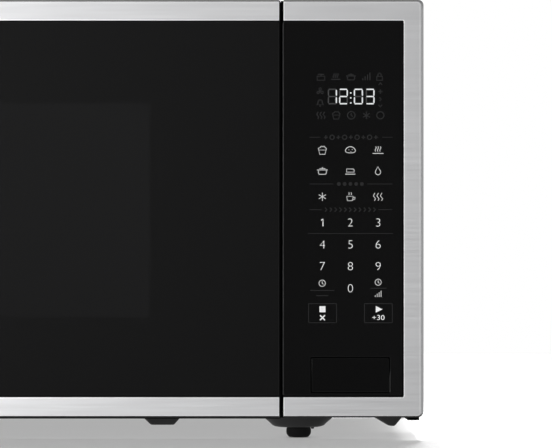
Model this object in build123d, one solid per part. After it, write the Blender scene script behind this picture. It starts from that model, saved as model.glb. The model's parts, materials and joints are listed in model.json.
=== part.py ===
from build123d import *
import math
import os

# Full-size countertop microwave. Front faces -Y, +X is to the right seen from the
# front, +Z up. Origin: centre of the bounding box's bottom face (under the feet).
# All sizes in millimetres.

# ---------------------------------------------------------------- driving dimensions
WIDTH = 613.0            # over the steel front frame
HEIGHT = 359.5           # feet to the top of the front frame
DEPTH = 505.0            # front face to the rear spacers
HW = WIDTH / 2
YF = -DEPTH / 2          # front face of door and control panel
YR = DEPTH / 2           # rear face of the spacers

Z_BOT = 18.8             # lower edge of the steel front frame
SHEET = 0.8              # cabinet and cavity sheet
TRIM_T = 1.2             # steel skin of the front frame
TRIM_D = 12.0            # return depth of the front frame
TRIM_R = 4.5             # corner radius of the front frame
GLASS_Z0, GLASS_Z1 = 35.6, 342.4
STILE = 17.4             # width of the outer vertical stiles
DOOR_X1 = 189.1          # right end of the door
PANEL_X0 = 192.1         # left end of the control panel
GLASS_IN = 0.5           # glass face set back from the steel face
GLASS_T = 3.0

Y_TRIM = YF + TRIM_D     # back edge of the steel return
Y_WEB0 = YF + GLASS_IN + GLASS_T + 0.5   # front of the plastic webs
Y_WEB1 = Y_WEB0 + 2.5
Y_DOOR1 = -217.0         # rear edge of the door frame
Y_FP0, Y_FP1 = -214.5, -213.5            # cavity front plate

HINGE_X, HINGE_Y = -295.0, -228.0
PIN_R = 3.0
BUSH_R = 5.0
DOOR_OPEN_R = 12.9       # everything left of the pin stays inside this radius

COVER_X = 303.5
COVER_TOP = 356.4
COVER_BOT = 14.7
Y_COVER1 = 241.0

BASE_Z0, BASE_Z1 = 17.0, 18.0
PLATE_X = 302.6
Y_RP0, Y_RP1 = 239.2, 240.2              # rear panel

CAV_X0, CAV_X1 = -280.0, 160.0
CAV_Z0, CAV_Z1 = 46.0, 329.0
CAV_Y1 = 233.0
CAV_R = 8.0

TT_X, TT_Y = -60.0, 9.75                 # turntable axis
TRACK_Z = 43.5                           # floor of the round roller track
TRAY_R = 200.0
WHEEL_R = 8.25
WHEEL_PATH = 112.0
RUN_GAP = 0.3

FOOT_X, FOOT_YF, FOOT_YB = 204.5, -184.0, 195.0
FOOT_R = 10.05
DISH_Z = 9.4

BTN_X0, BTN_X1 = 213.5, 278.4
BTN_Z0, BTN_Z1 = 38.3, 68.1
BTN_TRAVEL = 5.0

MAG_Y, MAG_Z = 95.0, 248.0
FAN_X, FAN_Z = 232.0, 248.0

LEVER_Y, LEVER_Z = -209.0, 86.0


# ---------------------------------------------------------------- helpers
def box(x0, x1, y0, y1, z0, z1):
    return Pos((x0 + x1) / 2, (y0 + y1) / 2, (z0 + z1) / 2) * Box(x1 - x0, y1 - y0, z1 - z0)


def cyl_z(x, y, r, z0, z1):
    return Pos(x, y, (z0 + z1) / 2) * Cylinder(r, z1 - z0)


def cyl_x(y, z, r, x0, x1):
    return Pos((x0 + x1) / 2, y, z) * Rot(0, 90, 0) * Cylinder(r, x1 - x0)


def cyl_y(x, z, r, y0, y1):
    return Pos(x, (y0 + y1) / 2, z) * Rot(90, 0, 0) * Cylinder(r, y1 - y0)


def plane_y(y):
    return Plane(origin=(0, y, 0), x_dir=(1, 0, 0), z_dir=(0, -1, 0))


def plane_x(x):
    return Plane(origin=(x, 0, 0), x_dir=(0, 1, 0), z_dir=(1, 0, 0))


def prism_y(sketch, y0, y1):
    return extrude(plane_y(y1) * sketch, amount=y1 - y0)


def prism_x(sketch, x0, x1):
    return extrude(plane_x(x0) * sketch, amount=x1 - x0)


def prism_z(sketch, z0, z1):
    return extrude(Plane.XY.offset(z0) * sketch, amount=z1 - z0)


def poly(points):
    return make_face(Polyline(*points, close=True))


def rrect(x0, x1, z0, z1, r):
    return Pos((x0 + x1) / 2, (z0 + z1) / 2) * RectangleRounded(x1 - x0, z1 - z0, r)


def rbox_y(x0, x1, y0, y1, z0, z1, r):
    return prism_y(rrect(x0, x1, z0, z1, r), y0, y1)


def turned_z(points, x, y):
    """Solid of revolution about a vertical axis at x, y; points are (radius, z)."""
    plane = Plane(origin=(x, y, 0), x_dir=(1, 0, 0), z_dir=(0, -1, 0))
    return revolve(plane * poly(points), axis=Axis((x, y, 0), (0, 0, 1)))


def turned_y(points, x, z):
    """Solid of revolution about an axis along Y at x, z; points are (radius, y)."""
    plane = Plane(origin=(x, 0, z), x_dir=(1, 0, 0), z_dir=(0, 0, 1))
    return revolve(plane * poly(points), axis=Axis((x, 0, z), (0, 1, 0)))


def screw_proto(head_r, head_h, shank_r, length):
    """Cross-recessed pan head; seat at z = 0, head up, shank down."""
    body = Pos(0, 0, head_h / 2) * Cylinder(head_r, head_h)
    body = fillet(body.edges().group_by(Axis.Z)[-1], head_h * 0.45)
    body += Pos(0, 0, -length / 2) * Cylinder(shank_r, length)
    slot = Pos(0, 0, head_h) * (Box(head_r * 1.1, head_r * 0.28, head_h * 0.9)
                                + Box(head_r * 0.28, head_r * 1.1, head_h * 0.9))
    return body - slot


SCREW_M4 = screw_proto(3.6, 2.2, 1.9, 7.0)
SCREW_M3 = screw_proto(2.7, 1.7, 1.4, 6.0)


def place(proto, p, n):
    return Plane(origin=p, z_dir=n).location * proto


def drill(p, n, r, deep=9.0):
    return Plane(origin=p, z_dir=n).location * (Pos(0, 0, -deep / 2 + 0.5) * Cylinder(r, deep + 1.0))


def solids(*shapes):
    out = []
    for s in shapes:
        if isinstance(s, (list, tuple)):
            out += solids(*s)
        else:
            out += list(s.solids())
    return out


def tube(points, bend, r):
    """Lead of round section along straight runs joined by tangent arcs."""
    path = FilletPolyline(*points, radius=bend)
    return sweep(Plane(origin=path @ 0, z_dir=path % 0) * Circle(r), path=path)


nodes = {}

# ---------------------------------------------------------------- screw positions
COVER_SCREWS = [(-296.5, 90.0), (-296.5, 300.0), (296.5, 90.0), (296.5, 300.0),
                (-200.0, 350.0), (0.0, 350.0), (200.0, 350.0)]
REAR_BASE_SCREWS = [(-250.0, 24.0), (-80.0, 24.0), (80.0, 24.0), (265.0, 24.0)]
SPACERS = [(-117.0, 312.0), (117.0, 312.0)]
FAN_POSTS = [(172.0, 192.0), (284.0, 192.0), (172.0, 304.0), (284.0, 304.0)]
HINGE_SCREWS = [(-295.0, 338.5), (-295.0, 347.0), (-295.0, 30.0), (-295.0, 38.5)]
PANEL_SCREWS = [(197.0, 26.5), (250.0, 26.5), (297.0, 26.5), (197.0, 349.0), (250.0, 349.0), (297.0, 349.0)]
LATCH_SCREWS = [(195.0, 66.0), (195.0, 180.0), (195.0, 294.0)]
DOOR_SCREWS = [(-292.0, 90.0), (-292.0, 285.0), (-200.0, 340.5), (-60.0, 340.5), (80.0, 340.5),
               (-200.0, 34.5), (-60.0, 34.5), (80.0, 34.5), (170.5, 60.0), (170.5, 187.0), (170.5, 315.0)]

# ---------------------------------------------------------------- outer cover
# One sheet wrapped over left side, top and right side, with a hem under each side and
# a lip folded over the rear panel; both sides have rows of air slots.
outer = rrect(-COVER_X, COVER_X, -60, COVER_TOP, 4.0) - Pos(0, -60) * Rectangle(700, 2 * (60 + COVER_BOT))
inner = rrect(-COVER_X + SHEET, COVER_X - SHEET, -70, COVER_TOP - SHEET, 3.2)
cover = prism_y(outer - inner, Y_FP0, Y_COVER1)
xi = COVER_X - SHEET
for s in (1, -1):
    hem = [(xi, 14.7), (294.3, 14.7), (291.0, 17.0), (292.6, 17.0), (294.7, 15.5), (xi, 15.5)]
    cover += prism_y(poly([(s * x, z) for x, z in hem]), Y_FP0, Y_RP0)
lip = (rrect(-xi, xi, -60, COVER_TOP - SHEET, 3.2) - Pos(0, -60) * Rectangle(700, 2 * (60 + 19.0))
       - Pos(0, 0) * Rectangle(2 * 290.0, 2 * 344.0))
cover += prism_y(lip, Y_RP1, Y_COVER1)
slots = []
for row in range(3):
    for i in range(13):
        y = 66 + 11 * i
        slots.append(box(300, 306, y, y + 3.2, 62 + 32 * row, 84 + 32 * row))
for row in range(2):
    for i in range(10):
        y = 96 + 11 * i
        slots.append(box(-306, -300, y, y + 3.2, 250 + 32 * row, 272 + 32 * row))
cover -= slots
cover -= [drill((x, Y_COVER1, z), (0, 1, 0), 2.1) for x, z in COVER_SCREWS]
nodes["outer_cover"] = cover

# ---------------------------------------------------------------- rear panel
rp = rrect(-PLATE_X, PLATE_X, BASE_Z1, COVER_TOP - SHEET, 3.2)
cuts = []
for row in range(13):
    for col in range(4):
        cuts.append(Pos(193.5 + 25.5 * col, 200 + 8 * row) * SlotOverall(20, 3.4))
for row in range(7):
    for col in range(5):
        cuts.append(Pos(-250 + 25.5 * col, 255 + 8 * row) * SlotOverall(20, 3.4))
for row in range(4):
    for col in range(6):
        cuts.append(Pos(-85 + 25.5 * col, 300 + 8 * row) * SlotOverall(20, 3.4))
cuts.append(Pos(250, 60) * Circle(7.0))
cuts += [Pos(x, z) * Circle(2.05) for x, z in COVER_SCREWS + REAR_BASE_SCREWS]
cuts += [Pos(x, z) * Circle(3.0) for x, z in SPACERS]
cuts += [Pos(x, z) * Circle(2.05) for x, z in FAN_POSTS]
rear = prism_y(rp - cuts, Y_RP0, Y_RP1)
nodes["rear_panel"] = rear

nodes["rear_spacers"] = solids([turned_y(
    [(0, 234.0), (1.4, 234.0), (3.6, 237.6), (3.6, 239.2), (2.95, 239.2), (2.95, 240.2), (9.0, 240.2),
     (9.0, 249.5), (7.0, YR), (0, YR)], x, z) for x, z in SPACERS])

# ---------------------------------------------------------------- base plate
base = box(-PLATE_X, PLATE_X, Y_FP1, Y_RP0, BASE_Z0, BASE_Z1)
FEET = [(FOOT_X, FOOT_YF), (-FOOT_X, FOOT_YF), (FOOT_X, FOOT_YB), (-FOOT_X, FOOT_YB)]
T = 1.0
DISH_OUT = [(0, DISH_Z), (17.5, DISH_Z), (20.4, DISH_Z + 0.9), (27.2, BASE_Z0), (27.2, BASE_Z1), (0, BASE_Z1)]
DISH_IN = [(0, DISH_Z + T), (17.2, DISH_Z + T), (20.0, DISH_Z + T + 0.8), (26.4, BASE_Z1), (26.4, BASE_Z1 + 1), (0, BASE_Z1 + 1)]
BEADS = [  # (x0, x1 at the sheet), (x0, x1 at the bottom), bottom z
    ((75.3, 107.0), (82.0, 101.1), 10.6),
    ((-107.0, -75.3), (-101.1, -82.0), 10.6),
    ((267.4, 289.7), (278.7, 283.6), 9.7),
    ((-289.7, -267.4), (-283.6, -278.7), 9.7),
]
inner_cut = []
for x, y in FEET:
    base += turned_z(DISH_OUT, x, y)
    inner_cut.append(turned_z(DISH_IN, x, y))
for (a0, a1), (b0, b1), zb in BEADS:
    base += prism_y(poly([(a0, BASE_Z1), (a0, BASE_Z0), (b0, zb), (b1, zb), (a1, BASE_Z0), (a1, BASE_Z1)]), -210.5, 214)
    inner_cut.append(prism_y(poly([(a0 + 0.9, BASE_Z1 + 1), (a0 + 0.9, BASE_Z1), (b0 + 0.4, zb + T), (b1 - 0.4, zb + T),
                                   (a1 - 0.9, BASE_Z1), (a1 - 0.9, BASE_Z1 + 1)]), -209.5, 213))
base -= inner_cut
base -= [cyl_z(x, y, 3.0, 5, 20) for x, y in FEET]
base += cyl_z(FOOT_X + 11.6, FOOT_YF, 1.15, 8.0, DISH_Z + 0.4)
# side flanges, rear flange and bent-up tabs that carry the cavity floor
for s in (1, -1):
    x0, x1 = sorted((s * PLATE_X, s * (PLATE_X - T)))
    base += box(x0, x1, -200.5, Y_RP0, BASE_Z1, 30)
base += box(-260, 280, Y_RP0 - T, Y_RP0, BASE_Z1, 31)
for x in (-250.0, 130.0):
    for y in (-150.0, 170.0):
        base += box(x, x + T, y, y + 30, BASE_Z1, 45.2)
        base += box(x, x + 12, y, y + 30, 44.2, 45.2)
base -= [box(206 + 9 * i, 210 + 9 * i, -105, -83, 16, 19) for i in range(8)]
base -= [box(200 + 9 * i, 204 + 9 * i, 16, 50, 16, 19) for i in range(10)]
base -= [drill((x, Y_RP1, z), (0, 1, 0), 2.05) for x, z in REAR_BASE_SCREWS]
base -= [cyl_z(TT_X + 34 * math.cos(math.radians(a)), TT_Y + 34 * math.sin(math.radians(a)), 3.0, 16, 19)
         for a in range(0, 360, 30)]
nodes["base_plate"] = base

FOOT = [(0, 0), (8.1, 0), (9.3, 0.7), (FOOT_R, 2.2), (FOOT_R + 0.15, 5.5), (FOOT_R, DISH_Z), (2.9, DISH_Z), (2.9, DISH_Z + T),
        (4.4, DISH_Z + T), (3.0, DISH_Z + T + 3), (0, DISH_Z + T + 3)]
nodes["rubber_feet"] = solids([turned_z(FOOT, x, y) - cyl_z(x, y, 3.4, -1, 1.6) for x, y in FEET])

# ---------------------------------------------------------------- cavity front plate
fp = rrect(-PLATE_X, PLATE_X, BASE_Z0, COVER_TOP - SHEET, 3.2)
fp -= [rrect(CAV_X0, CAV_X1, CAV_Z0, CAV_Z1, CAV_R), rrect(200, 296, 32, 342, 4),
       Pos(181.5, 111.5) * Rectangle(12, 26), Pos(181.5, 267.5) * Rectangle(12, 26),
       Pos(-295, 353) * Rectangle(13.2, 2.4), Pos(-295, 24) * Rectangle(13.2, 2.4)]
fp -= [Pos(x, z) * Circle(1.55) for x, z in HINGE_SCREWS + PANEL_SCREWS + LATCH_SCREWS]
front_plate = prism_y(fp, Y_FP0, Y_FP1)
ring = (rrect(-PLATE_X, PLATE_X, BASE_Z0, COVER_TOP - SHEET, 3.2)
        - rrect(-PLATE_X + T, PLATE_X - T, BASE_Z0 + T, COVER_TOP - SHEET - T, 2.2)
        - Pos(0, 0) * Rectangle(700, 2 * 19.0))
front_plate += prism_y(ring, Y_FP1, -201.0)
nodes["cavity_front_plate"] = front_plate

# ---------------------------------------------------------------- cavity
wrap = prism_y(rrect(CAV_X0 - SHEET, CAV_X1 + SHEET, CAV_Z0 - SHEET, CAV_Z1 + SHEET, CAV_R + SHEET)
               - rrect(CAV_X0, CAV_X1, CAV_Z0, CAV_Z1, CAV_R), Y_FP1, CAV_Y1)
wrap -= cyl_z(TT_X, TT_Y, 150, 44, 47)
wrap += turned_z([(7.5, TRACK_Z - SHEET), (145.4, TRACK_Z - SHEET), (150, CAV_Z0 - SHEET), (150, CAV_Z0),
                  (149.6, CAV_Z0), (145, TRACK_Z), (7.5, TRACK_Z)], TT_X, TT_Y)
holes = [box(159, 162, 62, 128, 222, 274)]
for i in range(9):
    for j in range(7):
        holes.append(cyl_x(-38 + 7 * i, 238 + 7 * j, 2.0, 159, 162))
for i in range(9):
    for j in range(5):
        holes.append(cyl_x(140 + 7 * i, 266 + 7 * j, 2.0, CAV_X0 - 2, CAV_X0 + 1))
holes += [cyl_z(TT_X + s * 30, TT_Y, 1.55, 42, 44) for s in (1, -1)]
wrap -= holes
nodes["cavity_wrapper"] = wrap
nodes["cavity_back"] = rbox_y(CAV_X0 - 6, CAV_X1 + 6, CAV_Y1, CAV_Y1 + 1.0, CAV_Z0 - 5, CAV_Z1 + 6, 12)
nodes["waveguide_cover"] = box(158.6, 160, 52, 138, 212, 284)

# ---------------------------------------------------------------- waveguide and magnetron
wg = box(160.8, 184.8, 50, 140, 205, 295) - box(160, 183.8, 51, 139, 206, 294) - cyl_x(MAG_Y, MAG_Z, 15, 180, 186)
nodes["waveguide"] = wg
yoke = box(184.8, 246.3, 50, 140, 208, 288) - box(186.3, 244.8, 49, 141, 209.5, 286.5)
yoke -= cyl_x(MAG_Y, MAG_Z, 18, 180, 250)
magnets = [cyl_x(MAG_Y, MAG_Z, 27, a, b) - cyl_x(MAG_Y, MAG_Z, 19, a - 1, b + 1) for a, b in ((186.3, 199.3), (231.8, 244.8))]
fbox = box(246.3, 286, 60, 130, 213, 283) - box(247.3, 285, 61, 129, 212, 282) - cyl_x(MAG_Y, MAG_Z, 17, 245, 249)
nodes["magnetron_yoke"] = solids(yoke, magnets, fbox)
mag = cyl_x(MAG_Y, MAG_Z, 20, 199.6, 231.5) + cyl_x(MAG_Y, MAG_Z, 16, 186, 252) + cyl_x(MAG_Y, MAG_Z, 13, 176, 187)
mag += cyl_x(MAG_Y, MAG_Z, 7, 166, 177)
nodes["magnetron_tube"] = mag
fins = []
for i in range(6):
    x = 202 + 5.3 * i
    fins.append(box(x, x + 0.8, 52, 138, 209.5, 286.5) - cyl_x(MAG_Y, MAG_Z, 20.02, x - 1, x + 2))
nodes["magnetron_fins"] = solids(fins)

# ---------------------------------------------------------------- high-voltage parts
core = box(200, 288, -70, -20, 19.2, 95.2) - box(215, 229, -71, -19, 34, 80) - box(259, 273, -71, -19, 34, 80)
core += box(192, 296, -72, -18, 18.0, 19.2)
core -= [cyl_z(x, y, 2.05, 17, 20) for x in (196, 292) for y in (-64, -26)]
nodes["transformer_core"] = core
wind = []
for z0, z1 in ((34.6, 53.5), (56.5, 79.4)):
    w = prism_z(Pos(244, -45) * RectangleRounded(57.2, 78, 10), z0, z1) - box(228.8, 259.2, -70.3, -19.7, z0 - 1, z1 + 1)
    wind.append(w)
nodes["transformer_windings"] = solids(wind)
base_holes = [(x, y) for x in (196, 292) for y in (-64, -26)]

can = prism_y(Pos(220, 37.5) * SlotOverall(52, 33), 62, 156)
can += box(208, 214, 53, 62, 36.8, 38.2)
can += box(226, 232, 53, 62, 36.8, 38.2)
strap = prism_y(Pos(220, 37.5) * SlotOverall(54.4, 35.4) - Pos(220, 37.5) * SlotOverall(52, 33), 100, 112)
strap += box(243, 262, 100, 112, 18.0, 19.2)
strap -= box(190, 300, 99, 113, 10, 18.0)
strap -= cyl_z(256, 106, 2.05, 17, 20)
nodes["high_voltage_capacitor"] = solids(can, strap)
base_holes.append((256, 106))
diode = cyl_y(262, 32, 3.4, 62, 84) + cyl_y(262, 32, 0.6, 56, 62) + cyl_y(262, 32, 0.6, 84, 90)
diode += cyl_z(262, 56, 0.6, 18.0, 32) + cyl_z(262, 90, 0.6, 18.0, 32)
nodes["high_voltage_diode"] = diode
nodes["base_plate"] = nodes["base_plate"] - [cyl_z(x, y, 2.0, 16, 19) for x, y in base_holes]

# ---------------------------------------------------------------- fan
shroud = box(163, 301, 203, 205, 184, 312) - cyl_y(FAN_X, FAN_Z, 57, 202, 206)
shroud += cyl_y(FAN_X, FAN_Z, 59, 205, 234) - cyl_y(FAN_X, FAN_Z, 57, 204, 236)
shroud += box(170, 294, 203, 205, 243, 253)
shroud += box(227, 237, 203, 205, 184, 312)
for x, z in FAN_POSTS:
    shroud += cyl_y(x, z, 5, 205, Y_RP0)
    shroud -= cyl_y(x, z, 1.6, 220, Y_RP0 + 1)
shroud -= cyl_y(FAN_X, FAN_Z, 4, 202, 206)
nodes["fan_shroud"] = shroud
stack = box(206, 258, 180, 196, 212, 284) - cyl_y(FAN_X, FAN_Z, 13, 179, 197) - box(214, 250, 179, 197, 220, 230)
coil = box(215, 249, 174, 202, 206, 229.6) - box(214, 250, 179.8, 196.2, 211.8, 220.2)
bridge_a = box(208, 256, 172, 174, 240, 256) + box(208, 213, 172, 180, 240, 256) + box(251, 256, 172, 180, 240, 256)
bridge_a -= cyl_y(FAN_X, FAN_Z, 2.05, 171, 175)
bridge_b = box(208, 256, 201, 203, 240, 256) + box(208, 213, 196, 203, 240, 256) + box(251, 256, 196, 203, 240, 256)
bridge_b -= cyl_y(FAN_X, FAN_Z, 2.05, 200, 204)
nodes["fan_motor"] = solids(stack, coil, bridge_a, bridge_b)
nodes["fan_shaft"] = cyl_y(FAN_X, FAN_Z, 2.0, 170, 226) + cyl_y(FAN_X, FAN_Z, 12.7, 178.5, 197.5)
hub = cyl_y(FAN_X, FAN_Z, 15, 208, 228) - cyl_y(FAN_X, FAN_Z, 2.0, 207, 226)
blades = None
for i in range(5):
    a = 72 * i
    b = Pos(FAN_X, 218, FAN_Z) * Rot(0, a, 0) * Pos(0, 0, 34) * Rot(0, 0, 33) * Box(34, 1.6, 46)
    blades = b if blades is None else blades + b
keep = cyl_y(FAN_X, FAN_Z, 54, 208.5, 229)
fan = hub + (blades & keep)
fan -= cyl_y(FAN_X, FAN_Z, 2.0, 207, 226)
nodes["fan_blade"] = fan

# ---------------------------------------------------------------- air duct and lamp
duct = box(160.8, 250, -52, 49.5, 205, 293) - box(160, 248.5, -50.5, 50, 206.5, 291.5) - cyl_y(184, 268, 9, -53, -49)
nodes["air_duct"] = duct
socket = cyl_y(184, 268, 8.9, -66, -42) + box(172, 196, -54.5, -52, 256, 280) - cyl_y(184, 268, 6.2, -60, -41)
bulb = turned_y([(0, -58), (6.1, -58), (6.1, -40), (9.0, -32), (10.0, -24), (8.6, -16), (4.6, -10.6), (0, -9)], 184, 268)
nodes["cavity_lamp"] = solids(socket, bulb)

# ---------------------------------------------------------------- supply board and cord inlet
pcb = box(182, 296, 231.6, 233.2, 106, 176)
for x in (188, 290):
    for z in (112, 170):
        pcb += cyl_y(x, z, 3, 233.2, Y_RP0)
choke = Pos(262, 221.6, 140) * Rot(90, 0, 0) * Torus(13, 6)
choke += cyl_y(262, 140, 4.0, 228, 231.6) + cyl_y(275, 140, 4.0, 225, 231.6)
xcap = box(195, 225, 214, 231.6, 150, 166)
fuse = cyl_x(222, 122, 3.2, 196, 226) + box(198, 203, 222, 231.6, 118, 126) + box(219, 224, 222, 231.6, 118, 126)
nodes["noise_filter_board"] = solids(pcb, choke, xcap)
nodes["noise_filter_board"] += solids(fuse)
nodes["cord_grommet"] = turned_y([(4.0, 232), (9.0, 232), (10.0, Y_RP0), (6.9, Y_RP0), (6.9, Y_RP1), (11.0, Y_RP1), (11.0, 243.0),
                                  (8.0, 246.0), (4.0, 246.0)], 250, 60)
nodes["thermal_cutouts"] = solids(cyl_z(215, 72, 8, 288, 295) + cyl_z(215, 72, 5, 295, 299),
                                  cyl_z(60, 120, 8, CAV_Z1 + SHEET, CAV_Z1 + SHEET + 7) + cyl_z(60, 120, 5, CAV_Z1 + 7, CAV_Z1 + 11))

# ---------------------------------------------------------------- latch board, switches, release lever
lb = box(188, 190.5, Y_FP1, -150, 56, 304) + box(190.5, 199, Y_FP1, -211, 56, 304)
lb += box(175.5, 188, -205, -195, 254.4, 256.6)
lb += box(175.5, 188, -206, -196, 98.4, 100.6)
lb += box(172.8, 188, Y_FP1, -200, 76, 78) + box(172.8, 175.2, Y_FP1, -200, 76, 97)
lb -= cyl_x(LEVER_Y, LEVER_Z, 2.55, 170, 200)
lb -= [cyl_y(x, z, 1.55, -214, -210) for x, z in LATCH_SCREWS]
lb -= [cyl_x(-165, z, 2.0, 187, 192) for z in (86, 132, 268)]
nodes["latch_board"] = lb
SWITCHES = [(79.0, 108.4, 104.5), (110.6, 140.0, 114.8), (254.0, 283.4, 268.0)]  # z0, z1, plunger z
sw, pl = [], []
for z0, z1, zp in SWITCHES:
    body = box(178, 188, -176, -160, z0, z1) - cyl_y(183, zp, 1.55, -177, -172)
    body += box(181, 185, -160, -153, z0 + 6, z0 + 6.8) + box(181, 185, -160, -153, z1 - 6.8, z1 - 6)
    sw.append(body)
    pl.append(cyl_y(183, zp, 1.5, -183.6, -174))
nodes["interlock_switches"] = solids(sw)
nodes["switch_plungers"] = solids(pl)

lev = cyl_x(LEVER_Y, LEVER_Z, 2.5, 171.5, 221) + cyl_x(LEVER_Y, LEVER_Z, 4.2, 175.5, 187.7)
lev += prism_x(poly([(-209, 82.2), (-183, 88), (-183, 96), (-190, 96), (-190, 93), (-207, 90)]), 177.5, 185.5)
lev += prism_x(poly([(-211.5, 87), (-206.5, 87), (-206.5, 70), (-214, 60), (-214, 51.5), (-221.5, 51.5), (-221.5, 60), (-211.5, 74)]),
               215, 221)
lev += cyl_x(LEVER_Y, LEVER_Z, 4.2, 215, 221)
nodes["release_lever"] = lev

# ---------------------------------------------------------------- turntable
motor = cyl_z(TT_X, TT_Y, 24.5, 22.5, TRACK_Z - SHEET) - cyl_z(TT_X, TT_Y, 3.6, 34, 50)
motor += box(TT_X - 34, TT_X + 34, TT_Y - 5, TT_Y + 5, TRACK_Z - SHEET - 1.2, TRACK_Z - SHEET)
motor -= cyl_z(TT_X, TT_Y, 3.6, 34, 50)
motor -= [cyl_z(TT_X + s * 30, TT_Y, 1.55, 38, 44) for s in (1, -1)]
nodes["turntable_motor"] = motor
coupler = turned_z([(0, 35), (3.5, 35), (3.5, 46.0), (7.0, 48.0), (14.0, 48.5), (14.0, 59.4), (0, 59.4)], TT_X, TT_Y)
for a in (90, 210, 330):
    coupler += Pos(TT_X, TT_Y, 0) * Rot(0, 0, a) * (box(10, 22, -4, 4, 53.0, 59.4) + cyl_z(22, 0, 4, 53.0, 59.4))
nodes["turntable_coupler"] = coupler

TRAY_Z = TRACK_Z + RUN_GAP + 2 * WHEEL_R + RUN_GAP     # underside of the tray
tray_pts = [(0, TRAY_Z), (188, TRAY_Z), (195, TRAY_Z + 4.5), (TRAY_R, TRAY_Z + 13.5), (TRAY_R - 0.4, TRAY_Z + 14.6),
            (TRAY_R - 3.2, TRAY_Z + 14.6), (190.5, TRAY_Z + 7.2), (186, TRAY_Z + 5.0), (0, TRAY_Z + 5.0)]
tray = turned_z(tray_pts, TT_X, TT_Y)
for a in (30, 150, 270):
    tray += Pos(TT_X, TT_Y, 0) * Rot(0, 0, a) * cyl_z(20.5, 0, 3.2, TRAY_Z - 5.5, TRAY_Z + 1)
nodes["turntable_tray"] = tray

AXLE_R = 1.75
WHEEL_Z = TRACK_Z + RUN_GAP + WHEEL_R
ringp = turned_z([(96, WHEEL_Z - 3.6), (104, WHEEL_Z - 3.6), (104, WHEEL_Z + 3.2), (101.5, WHEEL_Z + 3.6), (96, WHEEL_Z + 3.6)], TT_X, TT_Y)
wheels = []
for a in (90, 210, 330):
    at = Pos(TT_X, TT_Y, 0) * Rot(0, 0, a)
    ringp += at * (cyl_x(0, WHEEL_Z, AXLE_R, 103, 117) + cyl_x(0, WHEEL_Z, 2.8, 103, 108.6) + cyl_x(0, WHEEL_Z, 2.6, 115.6, 117.2))
    w = cyl_x(0, WHEEL_Z, WHEEL_R, WHEEL_PATH - 3, WHEEL_PATH + 3)
    w = chamfer(w.edges().filter_by(GeomType.CIRCLE), 0.8)
    w -= cyl_x(0, WHEEL_Z, AXLE_R + 0.06, WHEEL_PATH - 5, WHEEL_PATH + 5)
    wheels.append(at * w)
nodes["roller_ring"] = ringp
for name, w in zip("abc", wheels):
    nodes["roller_wheel_" + name] = w

# ---------------------------------------------------------------- hinges
brackets, pins, bushes = [], [], []
for up in (True, False):
    t0, t1 = (352.0, 354.0) if up else (23.0, 25.0)
    tongue = box(HINGE_X - 5.7, HINGE_X + 5.7, HINGE_Y, -211.5, t0, t1) + cyl_z(HINGE_X, HINGE_Y, 5.7, t0, t1)
    f0, f1 = (334.0, 354.0) if up else (23.0, 43.0)
    br = tongue + box(HINGE_X - 5.7, HINGE_X + 5.7, Y_FP1, -211.5, f0, f1)
    br -= cyl_z(HINGE_X, HINGE_Y, PIN_R + 0.02, t0 - 1, t1 + 1)
    br -= [cyl_y(x, z, 1.55, -215, -211) for x, z in HINGE_SCREWS]
    brackets.append(br)
    if up:
        pins.append(cyl_z(HINGE_X, HINGE_Y, PIN_R, 342, 354) + cyl_z(HINGE_X, HINGE_Y, 4.5, 354, 355.2))
        bushes.append(cyl_z(HINGE_X, HINGE_Y, BUSH_R, 341, 351) + cyl_z(HINGE_X, HINGE_Y, 6.2, 351, 351.6)
                      - cyl_z(HINGE_X, HINGE_Y, PIN_R + 0.06, 340, 352))
    else:
        pins.append(cyl_z(HINGE_X, HINGE_Y, PIN_R, 23, 35) + cyl_z(HINGE_X, HINGE_Y, 4.5, 21.8, 23))
        bushes.append(cyl_z(HINGE_X, HINGE_Y, BUSH_R, 26.5, 36.5) + cyl_z(HINGE_X, HINGE_Y, 6.2, 25.4, 26.5)
                      - cyl_z(HINGE_X, HINGE_Y, PIN_R + 0.06, 25, 37))
nodes["hinge_brackets"] = solids(brackets)
nodes["hinge_pins"] = solids(pins)
nodes["hinge_bushes"] = solids(bushes)

# ---------------------------------------------------------------- door
X_OUT = HW
# steel skin: top rail, left stile and bottom rail in one C-shaped piece
skin = rrect(-X_OUT, DOOR_X1 + 40, Z_BOT, HEIGHT, TRIM_R)
trim = prism_y(skin, YF, Y_TRIM)
trim = fillet(trim.edges().group_by(Axis.Y)[0], 1.4)
trim -= rbox_y(-X_OUT + TRIM_T, DOOR_X1 + 60, YF + TRIM_T, Y_TRIM + 1, Z_BOT + TRIM_T, HEIGHT - TRIM_T, TRIM_R - TRIM_T)
trim -= box(-X_OUT + STILE, DOOR_X1 + 60, YF - 1, Y_TRIM + 1, GLASS_Z0, GLASS_Z1)
trim -= box(DOOR_X1, DOOR_X1 + 60, YF - 1, Y_TRIM + 1, 0, 400)
nodes["door_trim_frame"] = trim
nodes["door_glass"] = box(-X_OUT + STILE + 0.2, DOOR_X1, YF + GLASS_IN, YF + GLASS_IN + GLASS_T, GLASS_Z0 + 0.2, GLASS_Z1 - 0.2)

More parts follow.
